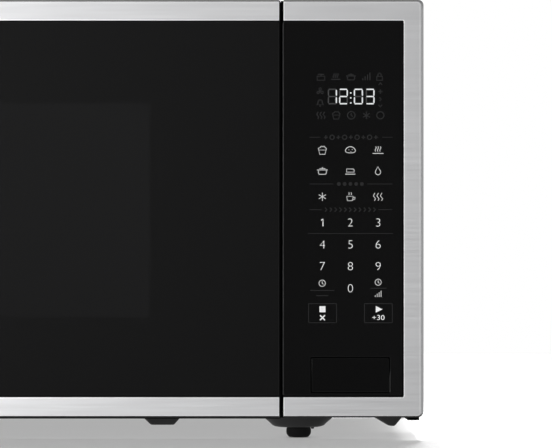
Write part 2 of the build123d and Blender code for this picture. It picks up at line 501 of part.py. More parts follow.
XI = X_OUT - TRIM_T
dfr = rbox_y(-XI, 240, YF + TRIM_T, Y_TRIM, Z_BOT + TRIM_T, HEIGHT - TRIM_T, TRIM_R - TRIM_T)
dfr += rbox_y(-X_OUT + 0.2, 240, Y_TRIM, Y_DOOR1, 17.2, HEIGHT - 0.2, TRIM_R - 0.2)
dfr -= box(DOOR_X1 - 0.2, 260, -260, -200, 0, 400)
dfr -= box(-X_OUT + STILE, 260, -253, Y_WEB0, GLASS_Z0, GLASS_Z1)
dfr -= box(-302.8, DOOR_X1 - 2.7, Y_WEB1, -210, 21.0, 356.0)
dfr -= rbox_y(-196, 96, -252, -240, 87, 289, 6)
dfr += box(-303.5, -287.5, -236, -219.2, 339.5, 351)
dfr += box(-303.5, -287.5, -236, -219.2, 26.5, 38.0)
dfr -= [cyl_z(HINGE_X, HINGE_Y, BUSH_R, 335, 352), cyl_z(HINGE_X, HINGE_Y, BUSH_R, 26, 40)]
# round the rear left corner about the pin, and slot it for the bracket tongues
dfr -= box(-310, HINGE_X, HINGE_Y, -205, 0, 400) - cyl_z(HINGE_X, HINGE_Y, DOOR_OPEN_R, -1, 401)
dfr -= [box(-307, -286, -238.9, -210, 351.0, 355.9), box(-307, -286, -238.9, -210, 21.1, 26.5)]
# bosses for the panel screws, lugs and ribs for the sliding latch piece
for x, z in DOOR_SCREWS:
    dfr += cyl_y(x, z, 3.6, Y_WEB1 - 0.2, -234.0)
dfr += box(178.0, 186.6, Y_WEB1 - 0.2, -228, 88.5, 94.7)
dfr += box(178.0, 186.6, Y_WEB1 - 0.2, -228, 308.0, 311.0)
for z in (140, 185, 230):
    dfr += box(178.0, 186.6, Y_WEB1 - 0.2, -238.4, z, z + 5)
dfr -= [cyl_y(x, z, 1.45, -241.5, -233) for x, z in DOOR_SCREWS]
nodes["door_frame"] = dfr

# stamped inner panel: raised table, channel around it, outer wall cut into a comb
tab0, tab1, tz0, tz1 = -285.0, 165.0, 41.0, 334.0
pan = box(-299, 176, -234, -233, 28, 347)
pan -= box(tab0 + 1, tab1 - 1, -235, -232, tz0 + 1, tz1 - 1)
pan += prism_y(rrect(tab0, tab1, tz0, tz1, 6) - rrect(tab0 + 1, tab1 - 1, tz0 + 1, tz1 - 1, 5), -234, -219)
pan += rbox_y(tab0, tab1, -219, -218, tz0, tz1, 6)
wall = prism_y(Pos(-61.5, 187.5) * Rectangle(475, 319) - Pos(-61.5, 187.5) * Rectangle(473, 317), -233, -221)
comb = []
for i in range(22):
    x = -288 + 21 * i
    comb += [box(x, x + 4, -231, -220, 26, 30), box(x, x + 4, -231, -220, 345, 348)]
for i in range(14):
    z = 42 + 21 * i
    comb += [box(-300, -297, -231, -220, z, z + 4), box(174, 177, -231, -220, z, z + 4)]
wall -= comb
pan += wall
pan -= rbox_y(-186, 86, -221, -216, 97, 279, 4)
pan -= [box(-301, -286.5, -236, -219, 338.5, 348), box(-301, -286.5, -236, -219, 27, 39)]
pan -= [cyl_y(x, z, 1.5, -235, -232) for x, z in DOOR_SCREWS]
nodes["door_inner_panel"] = pan
nodes["door_screen"] = rbox_y(-192, 92, -219.6, -219.0, 91, 285, 5)
nodes["door_inner_window"] = rbox_y(-279, 159, -218.0, -217.0, 47, 328, 6)

cc = rrect(-302.5, 186.1, 26.6, 350.6, 4) - rrect(CAV_X0, CAV_X1, CAV_Z0, CAV_Z1, 7)
cc -= [Pos(181.5, 111.5) * Rectangle(8.4, 25), Pos(181.5, 267.5) * Rectangle(8.4, 25)]
chc = prism_y(cc, -218.0, -216.5)
for x in (-180, -60, 60):
    chc += box(x, x + 10, -226, -217.5, 339.5, 341.5) + box(x, x + 10, -226, -217.5, 33.5, 35.5)
for z in (120, 240):
    chc += box(-293, -291, -226, -217.5, z, z + 10) + box(169.5, 171.5, -226, -217.5, z, z + 10)
chc -= box(-310, HINGE_X, HINGE_Y, -205, 0, 400) - cyl_z(HINGE_X, HINGE_Y, DOOR_OPEN_R, -1, 401)
chc -= [box(-304, -287, -219, -217.9, 339, 351), box(-304, -287, -219, -217.9, 26, 39)]
nodes["choke_cover"] = chc

# sliding latch piece with two hooks, pushed down by its spring
hooks = box(178.5, 184.5, -238, -228, 95, 285)
for z0 in (106.0, 262.0):
    hooks += prism_x(poly([(-229, z0), (-191, z0), (-191, z0 - 5), (-188.5, z0 - 5), (-184, z0 - 1.0), (-184, z0 + 12), (-229, z0 + 12)]),
                     178.5, 184.5)
hooks -= [box(177, 186, -236.5, -229.5, z, z + 14) for z in (128, 152, 176, 200, 224)]
hooks += cyl_z(181.5, -233, 1.6, 284, 296)
nodes["latch_hooks"] = hooks


def coil_spring(radius, wire, height, turns):
    helix = Helix(pitch=height / turns, height=height, radius=radius)
    return sweep(Plane(origin=helix @ 0, z_dir=helix % 0) * Circle(wire), path=helix)


nodes["latch_spring"] = Pos(181.5, -233, 285.8) * coil_spring(2.9, 0.45, 21.4, 6)

# ---------------------------------------------------------------- control panel
skin = rrect(PANEL_X0 - 40, X_OUT, Z_BOT, HEIGHT, TRIM_R)
ptr = prism_y(skin, YF, Y_TRIM)
ptr = fillet(ptr.edges().group_by(Axis.Y)[0], 1.4)
ptr -= rbox_y(PANEL_X0 - 60, X_OUT - TRIM_T, YF + TRIM_T, Y_TRIM + 1, Z_BOT + TRIM_T, HEIGHT - TRIM_T, TRIM_R - TRIM_T)
ptr -= box(PANEL_X0 - 60, X_OUT - STILE, YF - 1, Y_TRIM + 1, GLASS_Z0, GLASS_Z1)
ptr -= box(PANEL_X0 - 60, PANEL_X0, YF - 1, Y_TRIM + 1, 0, 400)
nodes["control_panel_trim"] = ptr
cg = box(PANEL_X0, X_OUT - STILE - 0.2, YF + GLASS_IN, YF + GLASS_IN + GLASS_T, GLASS_Z0 + 0.2, GLASS_Z1 - 0.2)
cg -= rbox_y(BTN_X0, BTN_X1, -253, -247, BTN_Z0, BTN_Z1, 1.2)
nodes["control_glass"] = cg

cpf = rbox_y(150, XI, YF + TRIM_T, Y_TRIM, Z_BOT + TRIM_T, HEIGHT - TRIM_T, TRIM_R - TRIM_T)
cpf += rbox_y(150, X_OUT - 0.2, Y_TRIM, Y_FP0, Z_BOT + 0.2, HEIGHT - 0.2, TRIM_R - 0.2)
cpf -= box(100, PANEL_X0 + 0.3, -260, -200, 0, 400)
cpf -= box(100, X_OUT - STILE, -253, Y_WEB0, GLASS_Z0, GLASS_Z1)
cpf -= box(194.9, 303.4, Y_WEB1, -210, 21.5, 356.4)
cpf -= box(214.5, 276.5, -250, -240, 257.5, 303.5)
cpf += box(212.2, 279.7, Y_WEB0, -223, 37, 69.4)
cpf -= [box(BTN_X0 + 0.2, BTN_X1 - 0.2, -250, -243.5, BTN_Z0 + 0.2, BTN_Z1 - 0.2),
        box(215.5, 276.5, -244, -225, 40.5, 66.1), box(215.5, 222, -226, -222, 50, 58.5)]
for x, z in PANEL_SCREWS:
    cpf += cyl_y(x, z, 3.6 if 196 < x < 301 else 2.4, Y_WEB1 - 0.2, Y_FP0) & box(192.4, 305, -250, -214, 19, 359)
for x, z in ((204, 126), (294, 126), (204, 314), (294, 314)):
    cpf += cyl_y(x, z, 3.0, Y_WEB1 - 0.2, -236)
cpf -= [cyl_y(x, z, 1.45, -222, -213) for x, z in PANEL_SCREWS]
nodes["control_panel_frame"] = cpf
nodes["touch_sensor_sheet"] = box(199, 287, YF + GLASS_IN + GLASS_T, Y_WEB0, 74, 252)
nodes["display_module"] = box(215, 276, -248.4, -236, 258, 303)
board = box(198, 300, -236, -234.4, 118, 322)
relays = [box(205 + 26 * i, 225 + 26 * i, -234.4, -217, 130, 146) for i in range(3)]
small_tf = box(245, 283, -234.4, -229, 156, 192) + box(250, 278, -229, -208, 158, 190)
buzzer = cyl_y(214, 215, 8, -234.4, -225)
plug_a = box(206, 236, -234.4, -226, 290, 298)
plug_b = box(250, 280, -234.4, -226, 290, 298)
nodes["control_board"] = solids(board, relays, small_tf, buzzer, plug_a, plug_b)

btn = rbox_y(BTN_X0 + 0.9, BTN_X1 - 0.9, YF + GLASS_IN, YF + GLASS_IN + 2.8, BTN_Z0 + 0.9, BTN_Z1 - 0.9, 1.0)
btn = fillet(btn.edges().group_by(Axis.Y)[0], 0.5)
btn += box(216, 276, -249.3, -238, 41, 65.6) - box(217.5, 274.5, -249.2, -237, 42.5, 64.1)
btn += box(217.0, 221.0, -249.3, -221.8, 52.5, 56.0)
btn += cyl_y(250, 53.2, 2.6, -249.3, -243)
nodes["open_button"] = btn
spring_b = coil_spring(4.2, 0.5, 22.6, 6)
nodes["button_spring"] = Pos(250, -225.7, 53.2) * Rot(90, 0, 0) * spring_b

# ---------------------------------------------------------------- leads
harness = [
    tube([(284, -234.4, 124), (284, -190, 124), (288, -150, 166), (286, 120, 168), (286, 231.55, 168)], [14, 18, 60], 2.6),
    tube([(268, -12, 79.4), (268, -12, 118), (266, 80, 150), (266, 80, 213)], [16, 24], 1.6),
    tube([(229, 57, 38.2), (229, 57, 78), (256, 72, 130), (256, 72, 213)], [18, 24], 1.6),
]
nodes["wiring_harness"] = solids(harness)

# ---------------------------------------------------------------- screws
fast = [place(SCREW_M4, (x, Y_COVER1, z), (0, 1, 0)) for x, z in COVER_SCREWS]
fast += [place(SCREW_M4, (x, Y_RP1, z), (0, 1, 0)) for x, z in REAR_BASE_SCREWS]
fast += [place(SCREW_M3, (x, Y_RP1, z), (0, 1, 0)) for x, z in FAN_POSTS]
fast += [place(SCREW_M3, (x, -211.5, z), (0, 1, 0)) & box(-320, 320, -214.5, -200, 0, 400) for x, z in HINGE_SCREWS]
fast += [place(SCREW_M3, (x, -211.0, z), (0, 1, 0)) & box(-320, 320, -214.5, -200, 0, 400) for x, z in LATCH_SCREWS]
fast += [place(SCREW_M3, (x, Y_FP1, z), (0, 1, 0)) for x, z in PANEL_SCREWS]
fast += [place(SCREW_M4, (x, y, 19.2), (0, 0, 1)) & box(150, 310, -100, 200, 17.0, 30) for x, y in base_holes]
fast += [place(SCREW_M3, (TT_X + s * 30, TT_Y, TRACK_Z - SHEET - 1.2), (0, 0, -1)) & box(-100, 0, -20, 40, 30, 43.4) for s in (1, -1)]
nodes["chassis_screws"] = solids(fast)
nodes["door_screws"] = solids([place(SCREW_M3, (x, -233.0, z), (0, 1, 0)) for x, z in DOOR_SCREWS])

# ---------------------------------------------------------------- write
os.makedirs("parts", exist_ok=True)
for name, shape in nodes.items():
    parts = shape if isinstance(shape, list) else solids(shape)
    whole = parts[0] if len(parts) == 1 else Compound(children=parts)
    export_step(whole, "parts/" + name + ".step")
print(len(nodes), "nodes")
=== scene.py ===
import bpy, bmesh, json, math
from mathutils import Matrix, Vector


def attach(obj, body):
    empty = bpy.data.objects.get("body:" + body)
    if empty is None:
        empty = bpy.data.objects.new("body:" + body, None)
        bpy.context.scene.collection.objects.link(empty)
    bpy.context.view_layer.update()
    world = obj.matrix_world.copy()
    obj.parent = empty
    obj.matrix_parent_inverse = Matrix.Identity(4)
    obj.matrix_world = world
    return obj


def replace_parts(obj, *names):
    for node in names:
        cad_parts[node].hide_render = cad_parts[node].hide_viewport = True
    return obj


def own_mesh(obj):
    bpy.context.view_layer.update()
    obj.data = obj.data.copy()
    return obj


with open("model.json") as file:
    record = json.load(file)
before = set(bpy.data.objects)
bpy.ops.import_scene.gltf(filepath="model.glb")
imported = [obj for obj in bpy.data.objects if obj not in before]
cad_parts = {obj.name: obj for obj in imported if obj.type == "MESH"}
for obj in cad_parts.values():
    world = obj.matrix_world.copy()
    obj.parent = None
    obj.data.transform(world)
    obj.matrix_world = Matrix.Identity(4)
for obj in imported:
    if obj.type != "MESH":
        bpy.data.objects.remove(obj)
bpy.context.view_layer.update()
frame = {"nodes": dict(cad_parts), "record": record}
NODES = frame["nodes"]
MM = 0.001
PI = math.pi

# ------------------------------------------------------------------ sizes shared with the frame (millimetres)
YF = -252.5                      # steel front face
YG = -252.0                      # face of both glass plates
Z0, Z1 = 18.8, 359.5             # steel front, bottom and top
GZ0, GZ1 = 35.15, 342.5          # glass opening
DOOR_X1, PANEL_X0 = 188.0, 191.6
HW, STILE = 306.5, 17.1
HW_R = 305.8                     # right edge of the panel steel
IN_R = 289.7                     # inner edge of the right stile
TT_X, TT_Y = -60.0, 9.75


# ================================================================== materials
class Mat:
    """A Principled material with node helpers. Coordinates are the object's own, in metres."""

    def __init__(self, name, color, rough=0.5, metal=0.0, spec=None, ior=None, coat=None, aniso=None):
        self.m = bpy.data.materials.new(name)
        self.m.use_nodes = True
        self.t = self.m.node_tree
        self.n = self.t.nodes
        self.b = next(x for x in self.n if x.type == "BSDF_PRINCIPLED")
        self.out = next(x for x in self.n if x.type == "OUTPUT_MATERIAL")
        self.b.inputs["Base Color"].default_value = (*color, 1)
        self.b.inputs["Roughness"].default_value = rough
        self.b.inputs["Metallic"].default_value = metal
        if spec is not None:
            self.b.inputs["Specular IOR Level"].default_value = spec
        if ior is not None:
            self.b.inputs["IOR"].default_value = ior
        if coat is not None:
            self.b.inputs["Coat Weight"].default_value = coat[0]
            self.b.inputs["Coat Roughness"].default_value = coat[1]
        if aniso is not None:
            self.b.inputs["Anisotropic"].default_value = aniso
        self._co = None
        self.height = []
        self.m.diffuse_color = (*color, 1)

    def link(self, a, b):
        self.t.links.new(a, b)

    def coord(self, scale=(1, 1, 1), rot=(0, 0, 0)):
        if self._co is None:
            self._co = self.n.new("ShaderNodeTexCoord").outputs["Object"]
        if scale == (1, 1, 1) and rot == (0, 0, 0):
            return self._co
        mp = self.n.new("ShaderNodeMapping")
        mp.inputs["Scale"].default_value = scale
        mp.inputs["Rotation"].default_value = rot
        self.link(self._co, mp.inputs["Vector"])
        return mp.outputs["Vector"]

    def noise(self, scale, detail=3.0, rough=0.55, stretch=(1, 1, 1), distortion=0.0):
        t = self.n.new("ShaderNodeTexNoise")
        t.inputs["Scale"].default_value = scale
        t.inputs["Detail"].default_value = detail
        t.inputs["Roughness"].default_value = rough
        t.inputs["Distortion"].default_value = distortion
        self.link(self.coord(stretch), t.inputs["Vector"])
        return t.outputs["Fac"]

    def voronoi(self, scale, feature="F1", stretch=(1, 1, 1), randomness=1.0, color=False):
        t = self.n.new("ShaderNodeTexVoronoi")
        t.feature = feature
        t.inputs["Scale"].default_value = scale
        t.inputs["Randomness"].default_value = randomness
        self.link(self.coord(stretch), t.inputs["Vector"])
        return t.outputs["Color" if color else "Distance"]

    def ramp(self, fac, stops, interp="LINEAR"):
        r = self.n.new("ShaderNodeValToRGB")
        r.color_ramp.interpolation = interp
        e = r.color_ramp.elements
        while len(e) < len(stops):
            e.new(0.5)
        for i, (p, c) in enumerate(stops):
            e[i].position = p
            e[i].color = (*c, 1) if len(c) == 3 else c
        self.link(fac, r.inputs["Fac"])
        return r.outputs["Color"]

    def range(self, fac, a, b, lo=0.0, hi=1.0, smooth=False):
        r = self.n.new("ShaderNodeMapRange")
        r.interpolation_type = "SMOOTHSTEP" if smooth else "LINEAR"
        r.inputs["From Min"].default_value = lo
        r.inputs["From Max"].default_value = hi
        r.inputs["To Min"].default_value = a
        r.inputs["To Max"].default_value = b
        self.link(fac, r.inputs["Value"])
        return r.outputs["Result"]

    def math(self, op, a, b=None):
        r = self.n.new("ShaderNodeMath")
        r.operation = op
        for i, v in enumerate((a, b)):
            if v is None:
                continue
            if isinstance(v, (int, float)):
                r.inputs[i].default_value = v
            else:
                self.link(v, r.inputs[i])
        return r.outputs[0]

    def mix(self, fac, a, b):
        r = self.n.new("ShaderNodeMix")
        r.data_type = "RGBA"
        for key, v in (("Factor", fac), ("A", a), ("B", b)):
            s = [i for i in r.inputs if i.name == key and i.enabled][0]
            if isinstance(v, (int, float)):
                s.default_value = v
            elif isinstance(v, tuple):
                s.default_value = (*v, 1)
            else:
                self.link(v, s)
        return [o for o in r.outputs if o.enabled][0]

    def xyz(self):
        s = self.n.new("ShaderNodeSeparateXYZ")
        self.link(self.coord(), s.inputs[0])
        return s.outputs

    def color(self, c):
        self.link(c, self.b.inputs["Base Color"])
        return self

    def rough(self, r):
        self.link(r, self.b.inputs["Roughness"])
        return self

    def bump(self, height, distance, strength=1.0):
        """distance in metres"""
        bn = self.n.new("ShaderNodeBump")
        bn.inputs["Strength"].default_value = strength
        bn.inputs["Distance"].default_value = distance
        self.link(height, bn.inputs["Height"])
        old = self.b.inputs["Normal"]
        if old.links:
            self.link(old.links[0].from_socket, bn.inputs["Normal"])
        self.link(bn.outputs["Normal"], old)
        return self


def shade(c, k):
    return tuple(min(1.0, v * k) for v in c)


def coated(name, color, rough, var=0.12, var_scale=9.0, grain=1400.0, depth=0.00004, rough_var=0.06, metal=0.0, spec=None):
    """Painted or moulded surface: slow tone drift, fine surface grain, uneven gloss."""
    m = Mat(name, color, rough, metal, spec)
    big = m.noise(var_scale, 4.0)
    fine = m.noise(grain, 2.0)
    m.color(m.ramp(big, [(0.3, shade(color, 1 - var)), (0.7, shade(color, 1 + var))]))
    m.rough(m.range(m.noise(var_scale * 3.0, 5.0), rough - rough_var, rough + rough_var, 0.3, 0.7))
    if depth:
        m.bump(fine, depth)
    return m


M = {}


def steel(name, color, rough, stretch=(14, 900, 900)):
    """Brushed sheet: streaks along X."""
    m = Mat(name, color, rough, 1.0, aniso=0.55)
    streak = m.noise(1.0, 4.0, 0.65, stretch=stretch)
    broad = m.noise(1.0, 3.0, 0.5, stretch=(3, 120, 120))
    both = m.math("MULTIPLY", m.math("ADD", streak, broad), 0.5)
    m.color(m.ramp(both, [(0.34, shade(color, 0.982)), (0.66, shade(color, 1.018))]))
    m.rough(m.range(streak, rough - 0.02, rough + 0.02, 0.3, 0.7))
    m.bump(streak, 0.000002)
    return m


M["trim_steel"] = steel("brushed_trim_steel", (0.761, 0.764, 0.774), 0.34)


def edge_steel_painted_shade():
    """The rolled edge, duller than the brushed face, with painted shade: darker than the face overall, darkest
    underneath, a little darker on top than at the side.
    """
    m = Mat("trim_rolled_edge_painted_shade", (0.45, 0.452, 0.458), 0.38, 1.0, aniso=0.4)
    _, _, z = m.xyz()
    # painted shade: near black up to about 21 mm, where the roll faces down, and darker again along the top
    m.color(m.ramp(m.range(z, 0.0, 1.0, 0.0, 0.36), [(0.0565, (0.045, 0.045, 0.046)), (0.062, (0.56, 0.563, 0.57)),
                                                     (0.975, (0.56, 0.563, 0.57)), (0.990, (0.36, 0.362, 0.368))]))
    m.rough(m.range(m.noise(1.0, 4.0, 0.65, stretch=(14, 14, 900)), 0.34, 0.42, 0.3, 0.7))
    return m


M["trim_return"] = edge_steel_painted_shade()
# painted highlight: the narrow strips along the face's inner and outer edges and at its cut ends are brighter steel
M["trim_edge"] = steel("trim_edge_painted_highlight", (0.93, 0.932, 0.938), 0.33)
# painted shade: the lip where the steel turns in beside the glass is dark steel, used only along the stiles
M["trim_lip"] = steel("trim_lip_painted_shade", (0.26, 0.261, 0.264), 0.42)

# back-printed black glass, glossy; the door's has a finely dotted window that is a shade lighter, painted light
# standing in for the screen seen through it, and a border painted lighter towards the left
g = Mat("panel_black_glass", (0.0022, 0.0022, 0.0024), 0.035)
g.color(g.ramp(g.noise(6.0, 3.0), [(0.3, (0.0023, 0.0023, 0.0024)), (0.7, (0.0026, 0.0026, 0.0027))]))
g.rough(g.range(g.noise(11.0, 5.0, 0.6), 0.028, 0.045, 0.3, 0.7))
M["panel_glass"] = g


def door_glass_material():
    m = Mat("door_black_glass", (0.0052, 0.0052, 0.0054), 0.035)
    x, _, z = m.xyz()
    # window: inside when |x - cx| < hx and |z - cz| < hz, with a soft border
    fade = 0.0022
    cx, hx = (-182.0 + 82.2) / 2 * MM, (82.2 + 182.0) / 2 * MM
    cz, hz = (100.6 + 275.2) / 2 * MM, (275.2 - 100.6) / 2 * MM
    dx = m.math("ABSOLUTE", m.math("SUBTRACT", x, cx))
    dz = m.math("ABSOLUTE", m.math("SUBTRACT", z, cz))
    ix = m.range(dx, 1.0, 0.0, hx - fade, hx + fade, smooth=True)
    iz = m.range(dz, 1.0, 0.0, hz - fade, hz + fade, smooth=True)
    inside = m.math("MULTIPLY", ix, iz)
    dots = m.range(m.voronoi(1.0, stretch=(780, 780, 780), randomness=0.0), 0.62, 1.0, 0.30, 0.45, smooth=True)
    # painted light: the window is a shade lighter, standing in for the screen seen through the glass
    painted_window_light = m.math("MULTIPLY", inside, dots)
    # painted light: outside the window the glass is painted lighter at the left, darker to the right
    left = m.range(x, 0.0094, 0.0064, -0.05, 0.19)
    border = m.ramp(left, [(0.0, (0.0, 0.0, 0.0)), (1.0, (1.0, 1.0, 1.02))])
    m.color(m.mix(painted_window_light, border, (0.0112, 0.0112, 0.0115)))
    m.rough(m.range(m.noise(9.0, 5.0, 0.6), 0.028, 0.045, 0.3, 0.7))
    return m


M["door_glass"] = door_glass_material()
M["cover_paint"] = coated("cover_paint", (0.021, 0.0215, 0.0225), 0.42, var=0.035, var_scale=5.0, grain=900.0, depth=0.00004, rough_var=0.015)
M["base_coat"] = coated("base_coat", (0.0080, 0.0080, 0.0083), 0.46, var=0.10, grain=1100.0, depth=0.00004, spec=0.20)
M["black_plastic"] = coated("moulded_black_plastic", (0.0040, 0.0040, 0.0042), 0.55, var=0.10, grain=1900.0, depth=0.00003, spec=0.08)
M["gloss_black"] = coated("gloss_black_button", (0.0012, 0.0012, 0.0013), 0.05, var=0.10, depth=0.0, rough_var=0.012)
M["rubber_black"] = coated("moulded_rubber", (0.0026, 0.0026, 0.0027), 0.74, var=0.16, grain=1500.0, depth=0.00008, rough_var=0.08, spec=0.10)
M["grey_plastic"] = coated("moulded_grey_plastic", (0.17, 0.17, 0.175), 0.45, var=0.07, grain=1700.0, depth=0.00003)
M["white_plastic"] = coated("moulded_nylon", (0.66, 0.65, 0.61), 0.42, var=0.05, grain=1700.0, depth=0.00003)
M["display"] = coated("display_window", (0.012, 0.012, 0.014), 0.10, var=0.08, depth=0.0, rough_var=0.02)
M["screen_steel"] = coated("black_coated_panel", (0.020, 0.020, 0.021), 0.40, var=0.10, grain=1300.0, depth=0.00003)


def enamel():
    base = (0.360, 0.364, 0.370)
    m = Mat("cavity_speckled_enamel", base, 0.30)
    dark = m.range(m.voronoi(620.0), 1.0, 0.0, 0.14, 0.26)
    light = m.range(m.voronoi(540.0, stretch=(1.1, 0.93, 1.07)), 1.0, 0.0, 0.10, 0.20)
    tone = m.ramp(m.noise(5.0, 2.0), [(0.3, shade(base, 0.98)), (0.7, shade(base, 1.02))])
    c = m.mix(dark, tone, shade(base, 0.66))
    c = m.mix(light, c, shade(base, 1.45))
    m.color(c)
    m.rough(m.range(m.noise(6.0, 2.0), 0.30, 0.34, 0.3, 0.7))
    m.bump(m.noise(900.0, 1.0), 0.00001)
    return m


M["cavity_enamel"] = enamel()


def zinc():
    base = (0.62, 0.635, 0.66)
    m = Mat("galvanised_sheet", base, 0.40, 1.0)
    cells = m.voronoi(130.0, color=True)
    bw = m.n.new("ShaderNodeRGBToBW")
    m.link(cells, bw.inputs[0])
    m.color(m.ramp(bw.outputs[0], [(0.15, shade(base, 0.86)), (0.85, shade(base, 1.08))]))
    m.rough(m.range(bw.outputs[0], 0.33, 0.47))
    m.bump(m.noise(900.0, 3.0), 0.000008)
    return m


M["galvanised"] = zinc()


def metal(name, color, rough, grain=500.0, var=0.08, depth=0.000006):
    m = Mat(name, color, rough, 1.0)
    m.color(m.ramp(m.noise(30.0, 4.0), [(0.3, shade(color, 1 - var)), (0.7, shade(color, 1 + var))]))
    m.rough(m.range(m.noise(60.0, 4.0), rough - 0.06, rough + 0.06, 0.3, 0.7))
    m.bump(m.noise(grain, 3.0), depth)
    return m


M["aluminium"] = metal("bare_aluminium", (0.78, 0.785, 0.79), 0.33)
M["spring_steel"] = metal("bright_spring_steel", (0.66, 0.66, 0.66), 0.22)
M["screw_zinc"] = metal("zinc_plated_screw", (0.60, 0.61, 0.63), 0.28)


def laminations():
    base = (0.115, 0.112, 0.108)
    m = Mat("varnished_laminations", base, 0.38, 0.65)
    w = m.n.new("ShaderNodeTexWave")
    w.wave_type, w.bands_direction = "BANDS", "Y"
    w.inputs["Scale"].default_value = 320.0
    w.inputs["Distortion"].default_value = 0.4
    m.link(m.coord(), w.inputs["Vector"])
    m.color(m.ramp(w.outputs["Fac"], [(0.1, shade(base, 0.7)), (0.9, shade(base, 1.35))]))
    m.rough(m.range(m.noise(80.0, 4.0), 0.30, 0.50, 0.3, 0.7))
    m.bump(w.outputs["Fac"], 0.00006)
    return m


def windings():
    base = (0.44, 0.155, 0.055)
    m = Mat("enamelled_winding", base, 0.30, 0.85)
    w = m.n.new("ShaderNodeTexWave")
    w.wave_type, w.bands_direction = "BANDS", "Z"
    w.inputs["Scale"].default_value = 260.0
    m.link(m.coord(), w.inputs["Vector"])
    m.color(m.ramp(w.outputs["Fac"], [(0.1, shade(base, 0.6)), (0.9, shade(base, 1.25))]))
    m.rough(m.range(m.noise(90.0, 3.0), 0.24, 0.38, 0.3, 0.7))
    m.bump(w.outputs["Fac"], 0.00015)
    return m


def circuit_board(name, lo, hi, components):
    """Green board; what stands on it, between y = lo and hi as the range runs, is coloured by place."""
    base = (0.022, 0.105, 0.048)
    m = Mat(name, base, 0.30)
    x, y, z = m.xyz()
    tracks = m.range(m.voronoi(210.0, feature="F1", stretch=(1, 1, 0.35)), 1.0, 0.0, 0.30, 0.36)
    bare = m.mix(tracks, m.ramp(m.noise(60.0, 2.0), [(0.3, shade(base, 0.8)), (0.7, shade(base, 1.2))]), shade(base, 1.35))
    raised = m.range(y, 0.0, 1.0, lo, hi)
    m.color(m.mix(raised, bare, components(m, x, z)))
    m.rough(m.range(m.noise(120.0, 3.0), 0.24, 0.38, 0.3, 0.7))
    m.bump(m.math("MULTIPLY", tracks, m.math("SUBTRACT", 1.0, raised)), 0.00003)
    return m


def control_components(m, x, z):
    """Relays, transformer, sounder and connectors, going up."""
    return m.ramp(m.range(z, 0.0, 1.0, 0.100, 0.330), [(0.0, (0.016, 0.016, 0.017)), (0.226, (0.115, 0.108, 0.100)),
                                                       (0.435, (0.014, 0.014, 0.015)), (0.696, (0.62, 0.60, 0.55))], "CONSTANT")


def filter_components(m, x, z):
    """Fuse below a film capacitor, wound choke beside them."""
    left = m.ramp(m.range(z, 0.0, 1.0, 0.100, 0.180), [(0.0, (0.60, 0.57, 0.50)), (0.475, (0.52, 0.38, 0.055))], "CONSTANT")
    return m.mix(m.range(x, 0.0, 1.0, 0.2345, 0.2350), left, (0.42, 0.15, 0.055))


def mica():
    base = (0.52, 0.455, 0.33)
    m = Mat("pressed_mica", base, 0.55)
    flakes = m.voronoi(260.0, color=True)
    bw = m.n.new("ShaderNodeRGBToBW")
    m.link(flakes, bw.inputs[0])
    m.color(m.ramp(bw.outputs[0], [(0.1, shade(base, 0.86)), (0.9, shade(base, 1.12))]))
    m.rough(m.range(bw.outputs[0], 0.42, 0.62))
    m.bump(bw.outputs[0], 0.00002)
    return m


M["lamination"] = laminations()
M["copper"] = windings()
M["board"] = circuit_board("control_board_populated", -0.2343, -0.2342, control_components)
M["filter_board"] = circuit_board("filter_board_populated", 0.2315, 0.2314, filter_components)
M["mica"] = mica()
M["lead_red"] = coated("silicone_lead", (0.30, 0.022, 0.016), 0.42, var=0.12, var_scale=60.0, grain=1500.0, depth=0.00003)


def clear(name, tint, rim, body, body_amount, ior=1.5, rough=0.03):
    """Clear pane or plate: Fresnel gloss over a tinted see-through body, deeper where it is seen edge on, with a little body colour."""
    m = Mat(name, body, rough)
    for n in list(m.n):
        if n not in (m.out,):
            m.n.remove(n)
    tr = m.n.new("ShaderNodeBsdfTransparent")
    lw = m.n.new("ShaderNodeLayerWeight")
    lw.inputs["Blend"].default_value = 0.5
    m.link(m.mix(m.math("POWER", lw.outputs["Facing"], 3.0), tint, rim), tr.inputs["Color"])
    di = m.n.new("ShaderNodeBsdfDiffuse")
    haze = m.ramp(m.noise(14.0, 4.0), [(0.3, shade(body, 0.85)), (0.7, shade(body, 1.1))])
    m.link(haze, di.inputs["Color"])
    gl = m.n.new("ShaderNodeBsdfGlossy")
    m.link(m.range(m.noise(25.0, 4.0), rough * 0.7, rough * 1.5, 0.3, 0.7), gl.inputs["Roughness"])
    fr = m.n.new("ShaderNodeFresnel")
    fr.inputs["IOR"].default_value = ior
    geo = m.n.new("ShaderNodeNewGeometry")             # light leaves through the far face unbent, so that face shines no ray back
    near = m.math("MULTIPLY", fr.outputs[0], m.math("SUBTRACT", 1.0, geo.outputs["Backfacing"]))
    a = m.n.new("ShaderNodeMixShader")
    a.inputs[0].default_value = body_amount
    m.link(tr.outputs[0], a.inputs[1])
    m.link(di.outputs[0], a.inputs[2])
    b = m.n.new("ShaderNodeMixShader")
    m.link(near, b.inputs[0])
    m.link(a.outputs[0], b.inputs[1])
    m.link(gl.outputs[0], b.inputs[2])
    m.link(b.outputs[0], m.out.inputs["Surface"])
    return m


M["clear_glass"] = clear("tray_glass", (0.945, 0.975, 0.965), (0.50, 0.70, 0.63), (0.50, 0.60, 0.565), 0.05)
M["clear_film"] = clear("inner_window_film", (0.95, 0.955, 0.955), (0.86, 0.865, 0.865), (0.30, 0.30, 0.31), 0.03)


def ink(name, color, strength=0.0, rough=0.6):
    m = Mat(name, color, rough, spec=0.15)
    m.color(m.ramp(m.noise(900.0, 2.0), [(0.3, shade(color, 0.95)), (0.7, shade(color, 1.05))]))
    # emission: a lamp for the lit display; on the white and grey print it is a painted glow
    if strength:
        m.b.inputs["Emission Color"].default_value = (*color, 1)
        m.b.inputs["Emission Strength"].default_value = strength
    return m


